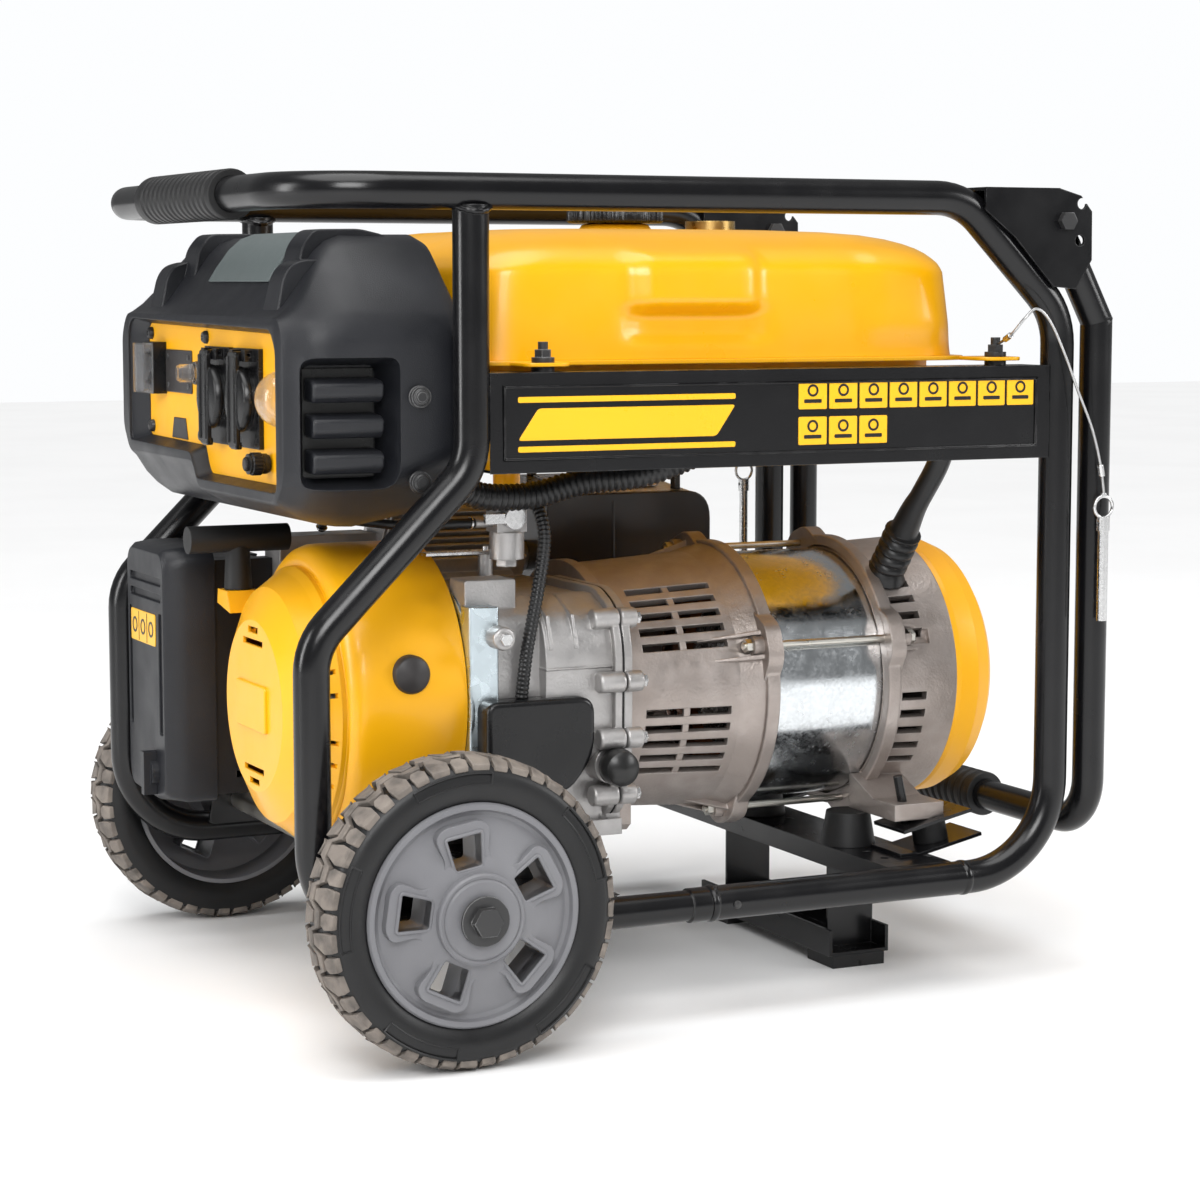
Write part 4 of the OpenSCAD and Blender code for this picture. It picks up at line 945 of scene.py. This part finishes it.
# crankcase side: a smooth chest, two flanges with a gasket between them, and bolt bosses
bm = bmesh.new()
CHEST_RADII, FLANGE_RADII = [6, 8, 14, 16, 12, 4, 4], [6, 8, 10, 14, 16, 10, 4, 4]
CASE_BOLTS = ((-190, 322), (-203, 272), (-203, 226), (-190, 178))
chest = [(-178, 200), (-196, 212), (-198, 296), (-188, 326), (-158, 340), (-140, 340), (-140, 200)]
prism(bm, rounded(chest, CHEST_RADII, 6), "x", -131, -72)
shallow = [(max(y, -185), z) for y, z in chest]
prism(bm, rounded(shallow, CHEST_RADII, 6), "x", -182, -128)
flange = [(-176, 158), (-190, 170), (-202, 210), (-203, 300), (-191, 331), (-160, 345), (-60, 345),
          (-60, 158)]
for x0, x1 in ((-72, -65.2), (-64, -56.5)):
    prism(bm, rounded(flange, FLANGE_RADII, 6), "x", x0, x1)
for bolt in CASE_BOLTS:
    for x0, x1 in ((-88, -65.2), (-64, -49)):
        turned(bm, [(0.01, x0), (7.6, x0), (8.6, x0 + 1.4), (8.6, x1 - 1.4), (7.6, x1), (0.01, x1)],
               "x", bolt, 28)
turned(bm, [(0.01, -206), (8, -206), (9.4, -204.4), (9.4, -180), (0.01, -180)], "y", (-170, 312), 32)
prism(bm, tile((-190, 330), (-146, 356), 2.5, 3), "y", -172, -140)
prism(bm, [(-150, 283.6), (-150, 285.4), (-199.2, 285.4), (-199.2, 283.6)], "x", -131.5, -72)
for x in (-126, -104):
    prism(bm, [(-150, 300), (-197.4, 300), (-190, 327), (-160, 340), (-150, 340)], "x", x - 1.6, x + 1.6)
piece("crankcase_chest", bm, cast_grey, bevel=2, segments=3)
bm = bmesh.new()
prism(bm, rounded([(y - 0.4 * (y < -150), z) for y, z in flange], FLANGE_RADII, 6), "x", -65.2, -64)
piece("crankcase_gasket", bm, label_black)
bm = bmesh.new()
for bolt in CASE_BOLTS:
    hexagon(bm, "x", bolt, 5.4, -49.2, -44.6)
hexagon(bm, "y", (-170, 312), 5.4, -210.4, -205.8)
hexagon(bm, "y", (-140, 196), 5.4, -213, -207.6)
piece("crankcase_bolts", bm, zinc)
# the oil sensor's cover with its rounded lower corner
bm = bmesh.new()
prism(bm, rounded([(-186, 184), (-186, 262), (-92, 262), (-92, 214), (-116, 184)], [8, 10, 14, 16, 16], 6),
      "y", -208, -178.1)
piece("sensor_cover_shell", bm, black_plastic, bevel=4, segments=4,
      replaces=["oil_sensor_cover"])
# dipstick knob
bm = bmesh.new()
turned(bm, [(0.01, -227), (9, -226), (14, -222), (15.5, -215), (15, -207), (12, -203), (9, -200.2), (9, -162),
            (0.01, -162)], "y", (-74, 204), 40)
piece("dipstick_knob", bm, label_black, "dipstick", replaces=["dipstick"])

# the alternator castings' flanges, bolt ears and webs
BOLT_ANGLES = (20, 110, 200, 290)
bm = bmesh.new()
for low, high in ((81, 93.4), (198.6, 211)):
    turned(bm, [(110.5, low), (118.4, low), (119.4, low + 1), (119.4, high - 1), (118.4, high),
                (110.5, high)], "x", SHAFT, 120)
turned(bm, [(103.2, 9), (106.4, 9), (106.4, 15), (103.2, 15)], "x", SHAFT, 96)


def round_shaft(x, angle, r):
    """A point at an angle round the shaft, counted as the through bolts are."""
    a = math.radians(angle)
    return Vector((x, SHAFT[0] - r * math.cos(a), SHAFT[1] + r * math.sin(a)))


for a in BOLT_ANGLES:
    ear = [(a - 17, 113), (a - 6.4, 129.5), (a + 6.4, 129.5), (a + 17, 113)]
    flat = [round_shaft(0, angle, r) for angle, r in ear]
    outline = rounded([(v.y, v.z) for v in flat], [3, 9, 9, 3], 6)
    for low, high in ((79, 93.6), (198.4, 213)):
        prism(bm, outline, "x", low, high)
    for way in (-5, 5):
        for tip, root, r_tip, r_root in ((26, 80, 105, 121), (250, 212, 107, 121)):
            b = a + way
            skin(bm, [[round_shaft(tip, b - 0.4, r0), round_shaft(root, b - 1, r1),
                       round_shaft(root, b + 1, r1), round_shaft(tip, b + 0.4, r0)]
                      for r0, r1 in ((100, 100), (r_tip, r_root))])
piece("casting_webs", bm, cast_taupe, bevel=0.8, segments=2)

# muffler shield: folded black sheet with round corners and a bright plate on top
bm = bmesh.new()
side_outline = rounded([(-12, 262), (-12, 403), (152, 403), (152, 262)], [10, 10, 26, 10], 8)
prism(bm, side_outline, "y", 62, 190)
box(bm, (52, 61.3, 268), (54.5, 64, 396))
piece("shield_shell", bm, heat_black, bevel=7, segments=4,
      replaces=["muffler_shield", "muffler"])
bm = bmesh.new()
prism(bm, [(66, 402.4), (182, 414), (182, 400), (66, 400)], "x", -4, 134)
prism(bm, [(90, 405.5), (160, 412.6), (160, 415), (90, 408)], "x", 18, 112)
sweep(bm, [(-60, 117, 345), (8, 117, 345)], 14, 32)
piece("muffler_plate", bm, muffler_top, bevel=1)
bm = bmesh.new()
for x, y in ((22, 82), (126, 82), (22, 172), (126, 172)):
    hexagon(bm, "z", (x, y), 5, 402, 408.5 + y * 0.1)  # the plate rises by a tenth
piece("muffler_bolts", bm, black_bolt_look)

# air filter cover
bm = bmesh.new()
front = rounded([(116, 146), (116, 350), (124, 362), (220, 362), (230, 352), (230, 156),
                 (222, 142), (150, 140)], 8, 4)
mid = rounded([(112, 142), (112, 354), (121, 364), (223, 364), (232, 354), (232, 152),
               (224, 140), (148, 138)], 8, 4)
skin(bm, [[Vector((-305.1, a, b)) for a, b in mid], [Vector((-330, a, b)) for a, b in mid],
          [Vector((-345, a, b)) for a, b in front],
          [Vector((-350, 173 + (a - 173) * 0.93, 252 + (b - 252) * 0.965)) for a, b in front]])
cover = piece("filter_shell", bm, grey_plastic, replaces=["filter_cover"])
cutters = []
for y0, y1, z0, z1 in ((126, 218, 330, 337), (126, 218, 316, 323), (124, 134, 200, 306),
                       (214, 222, 200, 306)):
    c = bmesh.new()
    prism(c, tile((y0, z0), (y1, z1), 2.5, 3), "x", -356, -347)
    cutters.append(cutter(c, grey_plastic))
cut(cover, *cutters)
bevelled(cover, 1.2, 2, 35)
bm = bmesh.new()
prism(bm, tile((142, 276), (214, 304), 2, 3), "x", -350.6, -349.6)
piece("filter_label", bm, label_yellow, bevel=0.2)
bm = bmesh.new()
for y in (166, 190):
    prism(bm, rectangle((y - 0.4, 277), (y + 0.4, 303)), "x", -350.9, -350.4)
for y in (154, 178, 202):
    turned(bm, [(5, -350.9), (7, -350.9), (7, -350.4), (5, -350.4)], "x", (y, 290), 24)
piece("filter_label_marks", bm, label_black)

# ---------------------------------------------------------------- floor and light
floor = bpy.data.objects.new("floor", bpy.data.meshes.new("floor"))
bm = bmesh.new()
bmesh.ops.create_grid(bm, x_segments=1, y_segments=1, size=12)
bm.to_mesh(floor.data)
bm.free()
floor_look = Look("pale_floor", (0.86, 0.86, 0.86), 0.6, spread=0.04)
floor.data.materials.append(floor_look.mottled((0.84, 0.84, 0.84), 2).done())
link(floor)

world = bpy.data.worlds.new("studio")
bpy.context.scene.world = world
world.use_nodes = True
backdrop = world.node_tree.nodes["Background"]
backdrop.inputs["Color"].default_value = (0.98, 0.99, 1, 1)
ray = world.node_tree.nodes.new("ShaderNodeLightPath")
level = world.node_tree.nodes.new("ShaderNodeMapRange")
level.inputs["To Min"].default_value = 0.24
level.inputs["To Max"].default_value = 1.0
world.node_tree.links.new(ray.outputs["Is Camera Ray"], level.inputs["Value"])
world.node_tree.links.new(level.outputs["Result"], backdrop.inputs["Strength"])


def soft_light(name, spot, target, power, size, tall=None):
    data = bpy.data.lights.new(name, "AREA")
    data.energy, data.size = power, size
    if tall:
        data.shape, data.size_y = "RECTANGLE", tall
    o = bpy.data.objects.new(name, data)
    o.location = spot
    o.rotation_euler = (Vector(target) - Vector(spot)).to_track_quat("-Z", "Y").to_euler()
    link(o)


soft_light("key", (-1.3, -2.6, 1.9), (0, 0, 0.35), 62, 1.3)
soft_light("side", (2.6, -1.8, 1.5), (0, 0, 0.35), 38, 1.2)
soft_light("front_strip", (-2.8, 0.0, 1.1), (-0.2, 0, 0.4), 34, 0.6, 1.6)
sky = bpy.data.lights.new("sky", "SUN")
sky.energy, sky.angle = 3.0, math.radians(60)
sky_lamp = bpy.data.objects.new("sky", sky)
sky_lamp.rotation_euler = (math.radians(8), math.radians(-6), 0)
link(sky_lamp)
